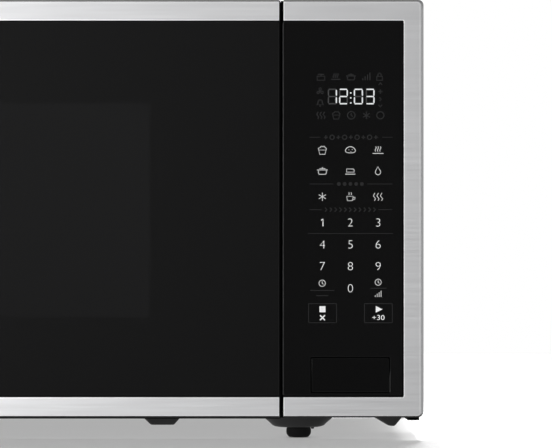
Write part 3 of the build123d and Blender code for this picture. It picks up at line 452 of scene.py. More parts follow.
# painted glow: the white and light grey print carry a faint emission
M["ink_white"] = ink("printed_white_painted_emission", (0.75, 0.75, 0.75), 0.09)
M["ink_grey"] = ink("printed_light_grey_painted_emission", (0.52, 0.52, 0.52), 0.05)
M["ink_dim"] = ink("printed_dim_grey", (0.0135, 0.0135, 0.014))
M["lit"] = ink("display_lit", (0.58, 0.59, 0.60), 0.22)
M["ghost"] = ink("display_unlit", (0.042, 0.042, 0.043))
M["ghost_dim"] = ink("display_unlit_icon", (0.0122, 0.0122, 0.0127))

SLOT_MAT = {s: M[s] for s in ("cover_paint", "galvanised", "base_coat", "trim_steel", "black_plastic", "gloss_black", "grey_plastic",
                              "white_plastic", "rubber_black", "cavity_enamel", "mica", "clear_glass", "clear_film", "screen_steel",
                              "lamination", "copper", "aluminium", "board", "spring_steel", "screw_zinc", "display", "lead_red")}
# near-black front plate; its darkness is also painted shade for the deep gap beside the door
M["front_plate"] = coated("front_plate_black_and_gap_shade", (0.0030, 0.0030, 0.0031), 0.45, var=0.10, grain=800.0, depth=0.00003, spec=0.06)
M["hinge_paint"] = coated("hinge_bracket_paint", (0.0105, 0.0105, 0.0108), 0.42, var=0.10, grain=900.0, depth=0.00003, spec=0.20)
NODE_MAT = {"cavity_front_plate": M["front_plate"], "hinge_brackets": M["hinge_paint"], "hinge_bushes": M["black_plastic"], "noise_filter_board": M["filter_board"]}
SLOT_MAT["black_glass"] = M["panel_glass"]
for sub in frame["record"]["subparts"]:
    ob = NODES.get(sub["node"])
    if ob is None:
        continue
    mat = NODE_MAT.get(sub["node"], SLOT_MAT[sub["material_slot"]]).m
    if not ob.material_slots:
        ob.data.materials.append(mat)
    for s in ob.material_slots:
        s.material = mat


# ================================================================== mesh helpers (millimetres in, metres out)
def finish_mesh(name, bm, body, mats, smooth=True, angle=32.0, recalc=True):
    if recalc:
        bmesh.ops.recalc_face_normals(bm, faces=bm.faces[:])
    for v in bm.verts:
        v.co *= MM
    me = bpy.data.meshes.new(name)
    bm.to_mesh(me)
    bm.free()
    for m in (mats if isinstance(mats, (list, tuple)) else [mats]):
        me.materials.append(m.m)
    if smooth:
        me.polygons.foreach_set("use_smooth", [True] * len(me.polygons))
        me.set_sharp_from_angle(angle=math.radians(angle))
    ob = bpy.data.objects.new(name, me)
    bpy.context.scene.collection.objects.link(ob)
    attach(ob, body)
    return ob


def rrect(x0, x1, z0, z1, r, n=8, right_open=False, left_open=False):
    """Points of a rounded rectangle, anticlockwise seen from the front, starting at the right of the top side."""
    r = max(r, 0.02)
    pts = []
    for cx, cz, a0 in ((x1 - r, z1 - r, 0.0), (x0 + r, z1 - r, PI / 2), (x0 + r, z0 + r, PI), (x1 - r, z0 + r, 1.5 * PI)):
        for k in range(n + 1):
            a = a0 + PI / 2 * k / n
            pts.append((cx + r * math.cos(a), cz + r * math.sin(a)))
    return pts


def wall(bm, a, b, closed=True):
    n = len(a)
    for i in range(n if closed else n - 1):
        j = (i + 1) % n
        bm.faces.new((a[i], a[j], b[j], b[i]))


def loop(bm, pts, y):
    return [bm.verts.new((x, y, z)) for x, z in pts]


def cap(bm, loops):
    """Fills a flat face that has one outer loop and any holes."""
    edges = []
    for lp in loops:
        for i, v in enumerate(lp):
            w = lp[(i + 1) % len(lp)]
            e = bm.edges.get((v, w)) or bm.edges.new((v, w))
            edges.append(e)
    if len(loops) == 1:
        bm.faces.new(loops[0])
    else:
        bmesh.ops.triangle_fill(bm, use_beauty=True, use_dissolve=False, edges=edges)


def plate(name, rings, holes, body, mat, angle=32.0, ground=None):
    """A flat plate with shaped edges. rings and each hole: [(points, y)], back to front; the same count of points in
    each.
    Optional (x, material): that material on the rounded left edge out to x, a painted highlight."""
    bm = bmesh.new()
    sets = []
    for rs in [rings] + list(holes):
        lps = [loop(bm, p, y) for p, y in rs]
        for a, b in zip(lps, lps[1:]):
            wall(bm, a, b)
        sets.append(lps)
    cap(bm, [s[0] for s in sets])
    cap(bm, [s[-1] for s in sets])
    if ground:
        bmesh.ops.recalc_face_normals(bm, faces=bm.faces[:])
        for f in bm.faces:
            if f.normal.x < -0.2 and f.normal.y < -0.05 and f.calc_center_median().x < ground[0]:
                f.material_index = 1
        mat = [mat, ground[1]]
    return finish_mesh(name, bm, body, mat, angle=angle)


def edge_round(r, n=4):
    """(inset, depth) steps round a front edge of radius r, from the side to the face."""
    return [(r - r * math.cos(PI / 2 * k / n), r - r * math.sin(PI / 2 * k / n)) for k in range(n + 1)]


# ================================================================== steel trim: one folded sheet, swept round three sides
def trim_sheet(name, x0, x1, open_side, body):
    t, depth, roll, lip, line = 1.2, 12.0, 1.35, 0.16, 0.75

    def section():
        """(which edge, inset from it, depth behind the front, is part of the roll)"""
        s = [("in", 0.0, t, 0), ("in", 0.0, lip, 0)]
        for i, d in edge_round(lip, 4)[1:]:
            s.append(("in", i, d, 0))
        s += [("in", lip + line, 0.0, 0), ("out", roll + 1.0, 0.0, 1)]
        for i, d in reversed(edge_round(roll, 8)):
            s.append(("out", i, d, 1))
        s += [("out", 0.0, depth - 0.25, 0), ("out", 0.25, depth, 0), ("out", t - 0.25, depth, 0), ("out", t, depth - 0.25, 0),
              ("out", t, t + 0.9, 0), ("out", t + 0.26, t + 0.26, 0), ("out", t + 0.9, t, 0)]
        return s

    sgn = -1 if open_side == "right" else 1

    def path(kind, inset, wide):
        if kind == "out":
            ks, kb, kt = (1.5, 0.78, 1.2) if wide else (1.0, 1.0, 1.0)      # the roll is broadest at the stile, tightest below
            a = (-HW + inset * ks, HW_R - inset * ks, Z0 + inset * kb, Z1 - inset * kt, max(4.5 - inset, 0.6))
        else:
            a = (-HW + STILE - inset, IN_R + inset, GZ0 - inset, GZ1 + inset, 1.3 + inset)
        pts = rrect(*a, n=8)
        n1 = 9
        corners = [pts[k * n1:(k + 1) * n1] for k in range(4)]       # top right, top left, bottom left, bottom right
        zt, zb = a[3], a[2]
        if open_side == "right":
            mid = corners[1] + corners[2]
            xe = x1
        else:
            mid = list(reversed(corners[0])) + list(reversed(corners[3]))
            xe = x0
        return [(xe, zt), (xe + sgn * line, zt)] + mid + [(xe + sgn * line, zb), (xe, zb)]

    bm = bmesh.new()
    sec = section()
    rows = []
    e = 0.14                                   # cut ends are very slightly broken
    for kind, inset, y, wide in sec:
        p = path(kind, inset, wide)
        yy = YF + y
        first = (p[0][0] + sgn * e, p[0][1])
        last = (p[-1][0] + sgn * e, p[-1][1])
        full = [first] + p[1:-1] + [last]
        rows.append([bm.verts.new((x, yy, z)) for x, z in full])
    m = len(rows)
    for i in range(m):
        a, b = rows[i], rows[(i + 1) % m]
        c, d = sec[i], sec[(i + 1) % m]
        front = c[2] == 0.0 and d[2] == 0.0
        highlight_strip = front and not (c[0] == "in" and d[0] == "out")
        rolled = c[0] == "out" and not front
        # faces: roll and return get shade-painted steel, the face's edge strips a painted highlight, the lip along the
        # stiles painted shade
        for k in range(len(a) - 1):
            f = bm.faces.new((a[k], a[k + 1], b[k + 1], b[k]))
            lipped = c[0] == "in" and d[0] == "in" and not front and max(c[2], d[2]) < 0.5
            if rolled:
                f.material_index = 1
            elif lipped and abs(a[k].co.x - a[k + 1].co.x) < 0.01:
                f.material_index = 3
            elif highlight_strip or (front and k in (0, len(a) - 2)):
                f.material_index = 2
    # cut ends
    for idx in (0, -1):
        inner = []
        for r, (kind, inset, y, wide) in zip(rows, sec):
            c = r[idx].co.copy()
            c.x -= sgn * e
            c.y += 0.10 if y < 0.6 else 0.0
            up = 1 if idx == 0 else -1
            if kind == "in" and inset < 0.01:
                c.z += 0.10 * up
            if kind == "out" and y > 0.5 and inset < 0.3:
                c.z -= 0.10 * up
            inner.append(bm.verts.new(c))
        ring = [r[idx] for r in rows]
        for i in range(m):
            j = (i + 1) % m
            bm.faces.new((ring[i], ring[j], inner[j], inner[i]))
        bm.faces.new(inner)
    return finish_mesh(name, bm, body, [M["trim_steel"], M["trim_return"], M["trim_edge"], M["trim_lip"]], angle=28.0)


door_trim = trim_sheet("door_trim_sheet", -HW, DOOR_X1, "right", "door")
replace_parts(door_trim, "door_trim_frame")
panel_trim = trim_sheet("panel_trim_sheet", PANEL_X0, HW, "left", "cabinet")
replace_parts(panel_trim, "control_panel_trim")


# ================================================================== the two glass plates
def glass_rings(x0, x1, z0, z1, r, edges, back_arris=0.25, n=6):
    """edges: rounding radius at left, right, bottom, top. Back to front."""
    yb = YG + 3.0
    rings = [(rrect(x0 + back_arris, x1 - back_arris, z0 + back_arris, z1 - back_arris, r, n), yb),
             (rrect(x0, x1, z0, z1, r, n), yb - back_arris)]
    steps = 6
    deepest = max(edges)
    for k in range(steps + 1):
        a = PI / 2 * k / steps
        ins = [e * (1 - math.cos(a)) for e in edges]
        y = YG + deepest * (1 - math.sin(a))
        rings.append((rrect(x0 + ins[0], x1 - ins[1], z0 + ins[2], z1 - ins[3], r, n), y))
    ins = [e + 0.4 for e in edges]
    rings.append((rrect(x0 + ins[0], x1 - ins[1], z0 + ins[2], z1 - ins[3], r, n), YG))
    return rings


door_glass = plate("door_glass_plate", glass_rings(-288.2, 187.8, 36.75, 341.2, 1.0, (0.12, 0.3, 0.12, 0.12)), [], "door",
                   M["door_glass"])
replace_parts(door_glass, "door_glass")

BX0, BX1, BZ0, BZ1 = 213.5, 278.4, 38.3, 68.1
hole_rings = [(rrect(BX0, BX1, BZ0, BZ1, 1.2, 6), YG + 3.0)]
for ins, dep in edge_round(0.10, 3) + [(0.4, 0.0)]:
    hole_rings.append((rrect(BX0 - ins, BX1 + ins, BZ0 - ins, BZ1 + ins, 1.2 + ins, 6), YG + dep))
# painted highlight: the control glass's rounded left edge is a pale matt strip standing in for the light line it
# catches
M["ground_edge"] = coated("glass_left_edge_painted_highlight", (0.128, 0.130, 0.133), 0.60, var=0.06, depth=0.0, spec=0.06)
panel_glass = plate("control_glass_plate", glass_rings(191.1, 288.0, 36.75, 341.2, 1.0, (0.27, 0.12, 0.12, 0.12)), [hole_rings], "cabinet",
                    M["panel_glass"], ground=(191.6, M["ground_edge"]))
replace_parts(panel_glass, "control_glass")


# ================================================================== moulded and turned pieces
def turned(bm, profile, cx, cy, n=64, axis="z"):
    """Closed solid of revolution; profile of (radius, height) from the axis to the axis, or a closed ring off the axis."""
    def at(r, h, a):
        c, q = r * math.cos(a), r * math.sin(a)
        return (cx + c, cy + q, h) if axis == "z" else (cx + c, h, cy + q)

    rings = []
    for r, h in profile:
        if r < 1e-6:
            rings.append([bm.verts.new(at(0.0, h, 0.0))])
        else:
            rings.append([bm.verts.new(at(r, h, 2 * PI * k / n)) for k in range(n)])
    pairs = list(zip(rings, rings[1:]))
    if len(rings[0]) > 1 and len(rings[-1]) > 1:
        pairs.append((rings[-1], rings[0]))
    for a, b in pairs:
        for k in range(n):
            j = (k + 1) % n
            if len(a) == 1 and len(b) == 1:
                continue
            if len(a) == 1:
                bm.faces.new((a[0], b[k], b[j]))
            elif len(b) == 1:
                bm.faces.new((a[k], a[j], b[0]))
            else:
                bm.faces.new((a[k], a[j], b[j], b[k]))


def block(bm, x0, x1, y0, y1, z0, z1, r=0.4):
    """Box with its four edges along Y rounded and its ends slightly broken."""
    c = min(0.2, (y1 - y0) / 4)
    rings = [(rrect(x0 + c, x1 - c, z0 + c, z1 - c, r, 4), y0), (rrect(x0, x1, z0, z1, r, 4), y0 + c),
             (rrect(x0, x1, z0, z1, r, 4), y1 - c), (rrect(x0 + c, x1 - c, z0 + c, z1 - c, r, 4), y1)]
    lps = [loop(bm, p, y) for p, y in rings]
    for a, b in zip(lps, lps[1:]):
        wall(bm, a, b)
    bm.faces.new(lps[0])
    bm.faces.new(lps[-1])


M["button_side"] = coated("matt_black_button_side", (0.0022, 0.0022, 0.0023), 0.70, var=0.10, depth=0.00002, spec=0.06)


def open_button():
    """Dished cap, skirt that slides in its well, tail that pushes the lever, stem inside the spring."""
    x0, x1, z0, z1 = 214.6, 277.3, 39.4, 67.0
    yf = -251.95
    rings = [(rrect(x0 + 1.6, x1 - 1.6, z0 + 1.6, z1 - 1.6, 0.8, 6), yf + 2.8), (rrect(x0, x1, z0, z1, 1.2, 6), yf + 2.8),
             (rrect(x0, x1, z0, z1, 1.2, 6), yf + 0.10), (rrect(x0 + 0.05, x1 - 0.05, z0 + 0.05, z1 - 0.05, 1.2, 6), yf + 0.02)]
    for s, d in ((0.12, 0.0), (0.6, 0.0), (3.0, 0.02), (7.0, 0.05)):       # shallow finger dish
        rings.append((rrect(x0 + s, x1 - s, z0 + s, z1 - s, 1.2, 6), yf + d))
    bm = bmesh.new()
    lps = [loop(bm, p, y) for p, y in rings]
    for a, b in zip(lps, lps[1:]):
        wall(bm, a, b)
    cap(bm, [lps[0]])
    cap(bm, [lps[-1]])
    skirt = [(rrect(217.5, 274.5, 42.5, 64.1, 0.8, 6), -249.2), (rrect(216.0, 276.0, 41.0, 65.6, 1.2, 6), -249.2),
             (rrect(216.0, 276.0, 41.0, 65.6, 1.2, 6), -238.3), (rrect(216.3, 275.7, 41.3, 65.3, 1.2, 6), -238.0),
             (rrect(217.2, 274.8, 42.2, 64.4, 0.8, 6), -238.0), (rrect(217.5, 274.5, 42.5, 64.1, 0.8, 6), -238.3)]
    lps = [loop(bm, p, y) for p, y in skirt]
    for a, b in zip(lps, lps[1:] + lps[:1]):
        wall(bm, a, b)
    block(bm, 217.0, 221.0, -249.3, -221.8, 52.5, 56.0, 0.5)
    turned(bm, [(0.0, -249.3), (2.6, -249.3), (2.6, -243.6), (2.0, -243.0), (0.0, -243.0)], 250.0, 53.2, 32, "y")
    bm.normal_update()
    for f in bm.faces:
        if f.calc_center_median().y > yf + 0.2 or abs(f.normal.y) < 0.6:
            f.material_index = 1
    return finish_mesh("open_button_moulding", bm, "open_button", [M["gloss_black"], M["button_side"]], angle=40.0)


button = open_button()
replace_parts(button, "open_button")


def panel_frame():
    """The moulded frame behind the control panel, drawn in a little at its right edge."""
    me = NODES["control_panel_frame"].data.copy()
    bm = bmesh.new()
    bm.from_mesh(me)
    bpy.data.meshes.remove(me)
    bmesh.ops.remove_doubles(bm, verts=bm.verts[:], dist=1e-6)
    for v in bm.verts:
        if v.co.x > 0.3052:
            v.co.x = 0.3052 + (v.co.x - 0.3052) * 0.30
        v.co /= MM
    for f in bm.faces:
        f.material_index = 0
    old = set(bm.faces)
    block(bm, 186.8, 193.4, -216.4, -214.7, 354.6, 359.2, 0.4)       # tab behind the top of the gap
    block(bm, 189.5, 193.4, -238.0, -236.0, 353.0, 359.2, 0.3)       # and one inside it
    bmesh.ops.recalc_face_normals(bm, faces=[f for f in bm.faces if f not in old])
    return finish_mesh("control_panel_moulding", bm, "cabinet", M["black_plastic"], angle=30.0, recalc=False)


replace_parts(panel_frame(), "control_panel_frame")


# ------------------------------------------------ rubber feet, turned, with a screw recess and a push-in plug
FEET = [(204.2, -184.0), (-204.2, -184.0), (204.2, 195.0), (-204.2, 195.0)]
DISH_Z = 8.0


def rubber_feet():
    bm = bmesh.new()
    prof = [(0, 1.6), (3.1, 1.6), (3.4, 1.3), (3.4, 0.15), (3.6, 0), (7.5, 0), (8.1, 0.2), (8.9, 0.95), (9.75, 2.0), (10.15, 3.1), (10.3, 4.6),
            (10.25, 6.0), (10.0, 7.2), (9.6, 7.85), (9.2, 8.0), (2.9, 8.0), (2.9, 9.15), (4.3, 9.2), (4.4, 9.5), (3.1, 12.2), (2.4, 12.9), (0, 13.0)]
    for x, y in FEET:
        turned(bm, prof, x, y, 72)
    return finish_mesh("rubber_feet_moulded", bm, "cabinet", M["rubber_black"], angle=35.0)


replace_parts(rubber_feet(), "rubber_feet")


# ------------------------------------------------ base plate: one pressed sheet
def ring_xy(bm, pts, z):
    return [bm.verts.new((x, y, z)) for x, y in pts]


def circle_xy(cx, cy, r, n=72):
    return [(cx + r * math.cos(2 * PI * k / n), cy + r * math.sin(2 * PI * k / n)) for k in range(n)]


def base_plate():
    zb, zt = 17.0, 18.0
    x1, y0, y1 = 301.1, -213.5, 237.7
    bm = bmesh.new()
    low, high = [], []                       # loops lying in the two flat skins

    def through(pts):
        a, b = ring_xy(bm, pts, zb), ring_xy(bm, pts, zt)
        wall(bm, a, b)
        low.append(a)
        high.append(b)

    edge = rrect(-x1, x1, y0, y1, 0.6, 3)
    through(edge)
    # dishes: outer skin, inner skin, joined round the hole for the foot's plug
    out = [(30.9, 17.0), (30.2, 17.0), (29.1, 16.8), (28.3, 16.15), (27.4, 15.1), (24.0, 12.2), (21.9, 10.15), (20.7, 9.3), (19.3, 8.8), (17.0, 8.35),
           (13.9, 8.12), (11.0, DISH_Z), (3.0, DISH_Z)]
    inn = [(30.3, 18.0), (29.6, 18.0), (28.5, 17.8), (27.4, 17.1), (26.3, 16.1), (23.3, 13.2), (21.2, 11.15), (20.0, 10.3), (18.8, 9.8), (16.6, 9.35),
           (13.7, 9.12), (11.0, DISH_Z + 1), (3.0, DISH_Z + 1)]
    for cx, cy in [(math.copysign(203.9, x), y) for x, y in FEET]:
        a = [ring_xy(bm, circle_xy(cx, cy, r), z) for r, z in out]
        b = [ring_xy(bm, circle_xy(cx, cy, r), z) for r, z in inn]
        for rings in (a, b):
            for p, q in zip(rings, rings[1:]):
                wall(bm, p, q)
        wall(bm, a[-1], b[-1])
        low.append(a[0])
        high.append(b[0])
    # beads: rounded channels running front to back
    prof = [(-0.07, 0.0), (-0.02, 0.0), (0.06, 0.03), (0.16, 0.13), (0.86, 0.86), (1.0, 0.965), (1.10, 1.0), (1.16, 1.0)]
    for (a0, a1), (b0, b1), z2 in (((75.3, 107.0), (82.0, 101.1), 10.6), ((-107.0, -75.3), (-101.1, -82.0), 10.6),
                                   ((265.9, 289.7), (278.7, 283.6), 9.7), ((-289.7, -265.9), (-283.6, -278.7), 9.7)):
        for skin, base, lst in ((0.0, zb, low), (1.0, zt, high)):
            rings = []
            for f, g in prof:
                s0, s1 = (a0 + skin * 0.4) + (b0 - a0) * f, (a1 - skin * 0.4) + (b1 - a1) * f
                w = 6.0 * f
                if s1 - s0 < 1.0:
                    mid = (s0 + s1) / 2
                    s0, s1 = mid - 0.5, mid + 0.5
                r = min(5.0 - 2.5 * f, (s1 - s0) / 2 - 0.05)
                rings.append(ring_xy(bm, rrect(s0, s1, -209.6 + w, 213.0 - w, r, 6), base + (z2 - zb) * g))
            for p, q in zip(rings, rings[1:]):
                wall(bm, p, q)
            cap(bm, [rings[-1]])
            lst.append(rings[0])
    for i in range(7):
        through(rrect(206 + 9 * i, 210 + 9 * i, -105, -83, 1.9, 4))
    for i in range(10):
        if not (200 + 9 * i + 4 > 262 and 200 + 9 * i < 294):
            through(rrect(200 + 9 * i, 204 + 9 * i, 16, 50, 1.9, 4))
    for a in (0, 30, 60, 90, 270, 300, 330):
        through(circle_xy(TT_X + 34 * math.cos(math.radians(a)), TT_Y + 34 * math.sin(math.radians(a)), 3.0, 24))
    for x, y in BASE_HOLES:
        through(circle_xy(x, y, 1.7, 20))
    cap(bm, low)
    cap(bm, high)

    # folded flanges, each with its bend, and the bent-up tabs under the cavity floor
    def fold(px, pz, side):
        """closed section of a flange: list of (u, z), u measured outward from the plate's edge"""
        s = [(0.0, zb)]
        s += [(1.5 * math.sin(PI / 2 * k / 6), zb + 1.5 - 1.5 * math.cos(PI / 2 * k / 6)) for k in range(1, 7)]
        s += [(1.5, pz - 0.2), (1.3, pz), (0.7, pz), (0.5, pz - 0.2)]
        s += [(0.5 * math.sin(PI / 2 * k / 4), zt + 0.5 - 0.5 * math.cos(PI / 2 * k / 4)) for k in range(4, -1, -1)]
        return s

    def prism(sec_pts, place_fn, a, b):
        p = [bm.verts.new(place_fn(u, z, a)) for u, z in sec_pts]
        q = [bm.verts.new(place_fn(u, z, b)) for u, z in sec_pts]
        wall(bm, p, q)
        bm.faces.new(p)
        bm.faces.new(q)

    sec = fold(0, 30.0, 1)
    prism(sec, lambda u, z, t: (x1 + u, t, z), -200.5, 239.2)
    prism(sec, lambda u, z, t: (-x1 - u, t, z), -200.5, 239.2)
    prism(fold(0, 31.0, 1), lambda u, z, t: (t, y1 + u, z), -260.0, 280.0)
    for x in (-250.0, 130.0):
        for y in (-150.0, 170.0):
            tab = [(0.0, 17.6), (1.0, 17.6), (1.0, 43.6), (1.2, 44.0), (1.6, 44.2), (12.0, 44.2), (12.0, 45.2), (1.2, 45.2), (0.5, 45.0), (0.0, 44.3)]
            prism(tab, lambda u, z, t, x=x: (x + u, t, z), y, y + 30)
    # small pressed pip beside the front right foot
    turned(bm, [(0.0, 6.6), (0.9, 6.65), (1.25, 7.0), (1.35, 8.0), (1.6, 8.6), (0.0, 8.7)], 215.7, -184.0, 24)
    return finish_mesh("base_plate_pressed", bm, "cabinet", M["base_coat"], angle=38.0)


BASE_HOLES = [(196, -64), (196, -26), (292, -64), (292, -26), (256, 106)]
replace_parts(base_plate(), "base_plate")


# ------------------------------------------------ coil springs
def coil(name, body, axis, cx, cy, a, b, radius, wire, turns):
    """Round-wire compression spring with closed end coils. a, b: positions of the end wire centres along the axis."""
    bm = bmesh.new()
    steps, sides = int(turns * 28), 10
    prev = first = None
    n = steps
    for k in range(n + 1):
        t = turns * k / n
        # the first and last three quarters of a turn lie almost flat
        e = 0.75
        if t < e:
            f = 0.06 * t / e
        elif t > turns - e:
            f = 1.0 - 0.06 * (turns - t) / e
        else:
            f = 0.06 + 0.88 * (t - e) / (turns - 2 * e)
        ang = 2 * PI * t
        h = a + (b - a) * f
        ring = []
        for q in range(sides):
            w = 2 * PI * q / sides
            r = radius + wire * math.cos(w)
            hh = h + wire * math.sin(w)
            u, v = cx + r * math.cos(ang), cy + r * math.sin(ang)
            ring.append(bm.verts.new((u, v, hh) if axis == "z" else (u, hh, v)))
        if prev:
            wall(bm, prev, ring)
        else:
            first = ring
        prev = ring
    bm.faces.new(first)
    bm.faces.new(prev)
    return finish_mesh(name, bm, body, M["spring_steel"], angle=60.0)


latch_coil = coil("latch_spring_coil", "door", "z", 181.5, -233.0, 285.52, 307.5, 2.9, 0.45, 6.5)
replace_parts(latch_coil, "latch_spring")
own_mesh(latch_coil)
button_coil = coil("button_spring_coil", "cabinet", "y", 250.0, 53.2, -248.6, -225.65, 4.2, 0.5, 6.5)
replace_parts(button_coil, "button_spring")
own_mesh(button_coil)


# ------------------------------------------------ perforated screen behind the window
def door_screen():
    x0, x1, z0, z1 = -192.0, 92.0, 91.0, 285.0
    y0, y1 = -219.6, -219.0
    p = 4.0
    ph = p * math.sqrt(3) / 2
    nx, nz = 67, 52
    gx, gz = (x0 + x1) / 2 - (nx + 0.5) * p / 2, (z0 + z1) / 2 - nz * ph / 2
    bm = bmesh.new()
    hole = 1.35
    skins = []
    holes = []
    for y in (y0, y1):
        grid = [[bm.verts.new((gx + i * p / 2, y, gz + j * ph)) for i in range(2 * nx + 2)] for j in range(nz + 1)]
        rings = []
        for j in range(nz):
            off = j % 2
            for i in range(nx):
                a = 2 * i + off
                b = [grid[j][a], grid[j][a + 1], grid[j][a + 2], grid[j + 1][a + 2], grid[j + 1][a + 1], grid[j + 1][a]]
                cx, cz = gx + (a + 1) * p / 2, gz + (j + 0.5) * ph
                h = [bm.verts.new((cx + hole * math.cos(math.radians(d)), y, cz + hole * math.sin(math.radians(d))))
                     for d in (210, 270, 330, 30, 90, 150)]
                wall(bm, b, h)
                rings.append(h)
            if off:
                bm.faces.new((grid[j][0], grid[j][1], grid[j + 1][1], grid[j + 1][0]))
            else:
                bm.faces.new((grid[j][2 * nx], grid[j][2 * nx + 1], grid[j + 1][2 * nx + 1], grid[j + 1][2 * nx]))
        edge = ([grid[0][i] for i in range(2 * nx + 2)] + [grid[j][-1] for j in range(1, nz + 1)]
                + [grid[nz][i] for i in range(2 * nx, -1, -1)] + [grid[j][0] for j in range(nz - 1, 0, -1)])
        outer = loop(bm, rrect(x0, x1, z0, z1, 5.0, 6), y)
        cap(bm, [outer, edge])
        skins.append(outer)
        holes.append(rings)
    wall(bm, skins[0], skins[1])
    for a, b in zip(holes[0], holes[1]):
        wall(bm, a, b)
    return finish_mesh("door_screen_perforated", bm, "door", M["screen_steel"], smooth=False)


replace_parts(door_screen(), "door_screen")


# ================================================================== printed legends and clock: thin raised ink on the panel glass
def P(x, y):
    """Panel layout units to millimetres (x, z)."""
    return (x - 48.4) * 0.816, 359.5 - 0.816 * (y + 0.5)


INK_Y = YG - 0.035


def ink_prism(bm, pts, lift=0.035):
    """pts in layout units, a simple outline."""
    q = [P(x, y) for x, y in pts]
    f = [bm.verts.new((x, YG - lift, z)) for x, z in q]
    b = [bm.verts.new((x, YG + 0.02, z)) for x, z in q]
    n = len(q)
    bm.faces.new(f)
    bm.faces.new(list(reversed(b)))
    for i in range(n):
        j = (i + 1) % n
        bm.faces.new((f[i], b[i], b[j], f[j]))


def disc(cx, cy, r, n=20):
    return [(cx + r * math.cos(2 * PI * k / n), cy + r * math.sin(2 * PI * k / n)) for k in range(n)]


def strokes(bm, paths, width, lift=0.035):
    """paths: [(points, closed)] in layout units; each becomes a flattened rounded bead of that width."""
    cu = bpy.data.curves.new("tmp_stroke", "CURVE")
    cu.dimensions = "3D"
    cu.bevel_depth = width * 0.816 / 2
    cu.bevel_resolution = 2
    cu.use_fill_caps = True
    cu.twist_mode = "Z_UP"
    for pts, closed in paths:
        sp = cu.splines.new("POLY")
        sp.points.add(len(pts) - 1)
        for p, (x, y) in zip(sp.points, pts):
            X, Z = P(x, y)
            p.co = (X, Z, 0.0, 1.0)
        sp.use_cyclic_u = closed
    ob = bpy.data.objects.new("tmp_stroke", cu)
    bpy.context.scene.collection.objects.link(ob)
    dg = bpy.context.evaluated_depsgraph_get()
    me = bpy.data.meshes.new_from_object(ob.evaluated_get(dg))
    base = len(bm.verts)
    bm.from_mesh(me)
    bm.verts.ensure_lookup_table()
    hw = width * 0.816 / 2
    for v in bm.verts[base:]:
        x, z, h = v.co
        v.co = (x, YG - h / hw * lift, z)
    bpy.data.objects.remove(ob)
    bpy.data.curves.remove(cu)
    bpy.data.meshes.remove(me)


def lettering(bm, text, cx, cy, height, sx=1.0, offset=0.0, lift=0.035):
    """Numerals only. cx, cy: centre in layout units; height: figure height."""
    cu = bpy.data.curves.new("tmp_text", "FONT")
    cu.body = text
    cu.size = 10.0
    cu.offset = offset
    cu.resolution_u = 6
    cu.extrude = 0.5
    ob = bpy.data.objects.new("tmp_text", cu)
    bpy.context.scene.collection.objects.link(ob)
    dg = bpy.context.evaluated_depsgraph_get()
    me = bpy.data.meshes.new_from_object(ob.evaluated_get(dg))
    xs = [v.co.x for v in me.vertices]
    ys = [v.co.y for v in me.vertices]
    k = height * 0.816 / (max(ys) - min(ys))
    mx, my = (max(xs) + min(xs)) / 2, (max(ys) + min(ys)) / 2
    X, Z = P(cx, cy)
    base = len(bm.verts)
    bm.from_mesh(me)
    bm.verts.ensure_lookup_table()
    for v in bm.verts[base:]:
        x, y, h = v.co
        v.co = (X + (x - mx) * k * sx, YG - lift if h > 0 else YG + 0.02, Z + (y - my) * k)
    bpy.data.objects.remove(ob)
    bpy.data.curves.remove(cu)
    bpy.data.meshes.remove(me)


def arc(cx, cy, r, a0, a1, n=14, ry=None):
    ry = ry or r
    return [(cx + r * math.cos(math.radians(a0 + (a1 - a0) * k / n)), cy - ry * math.sin(math.radians(a0 + (a1 - a0) * k / n)))
            for k in range(n + 1)]


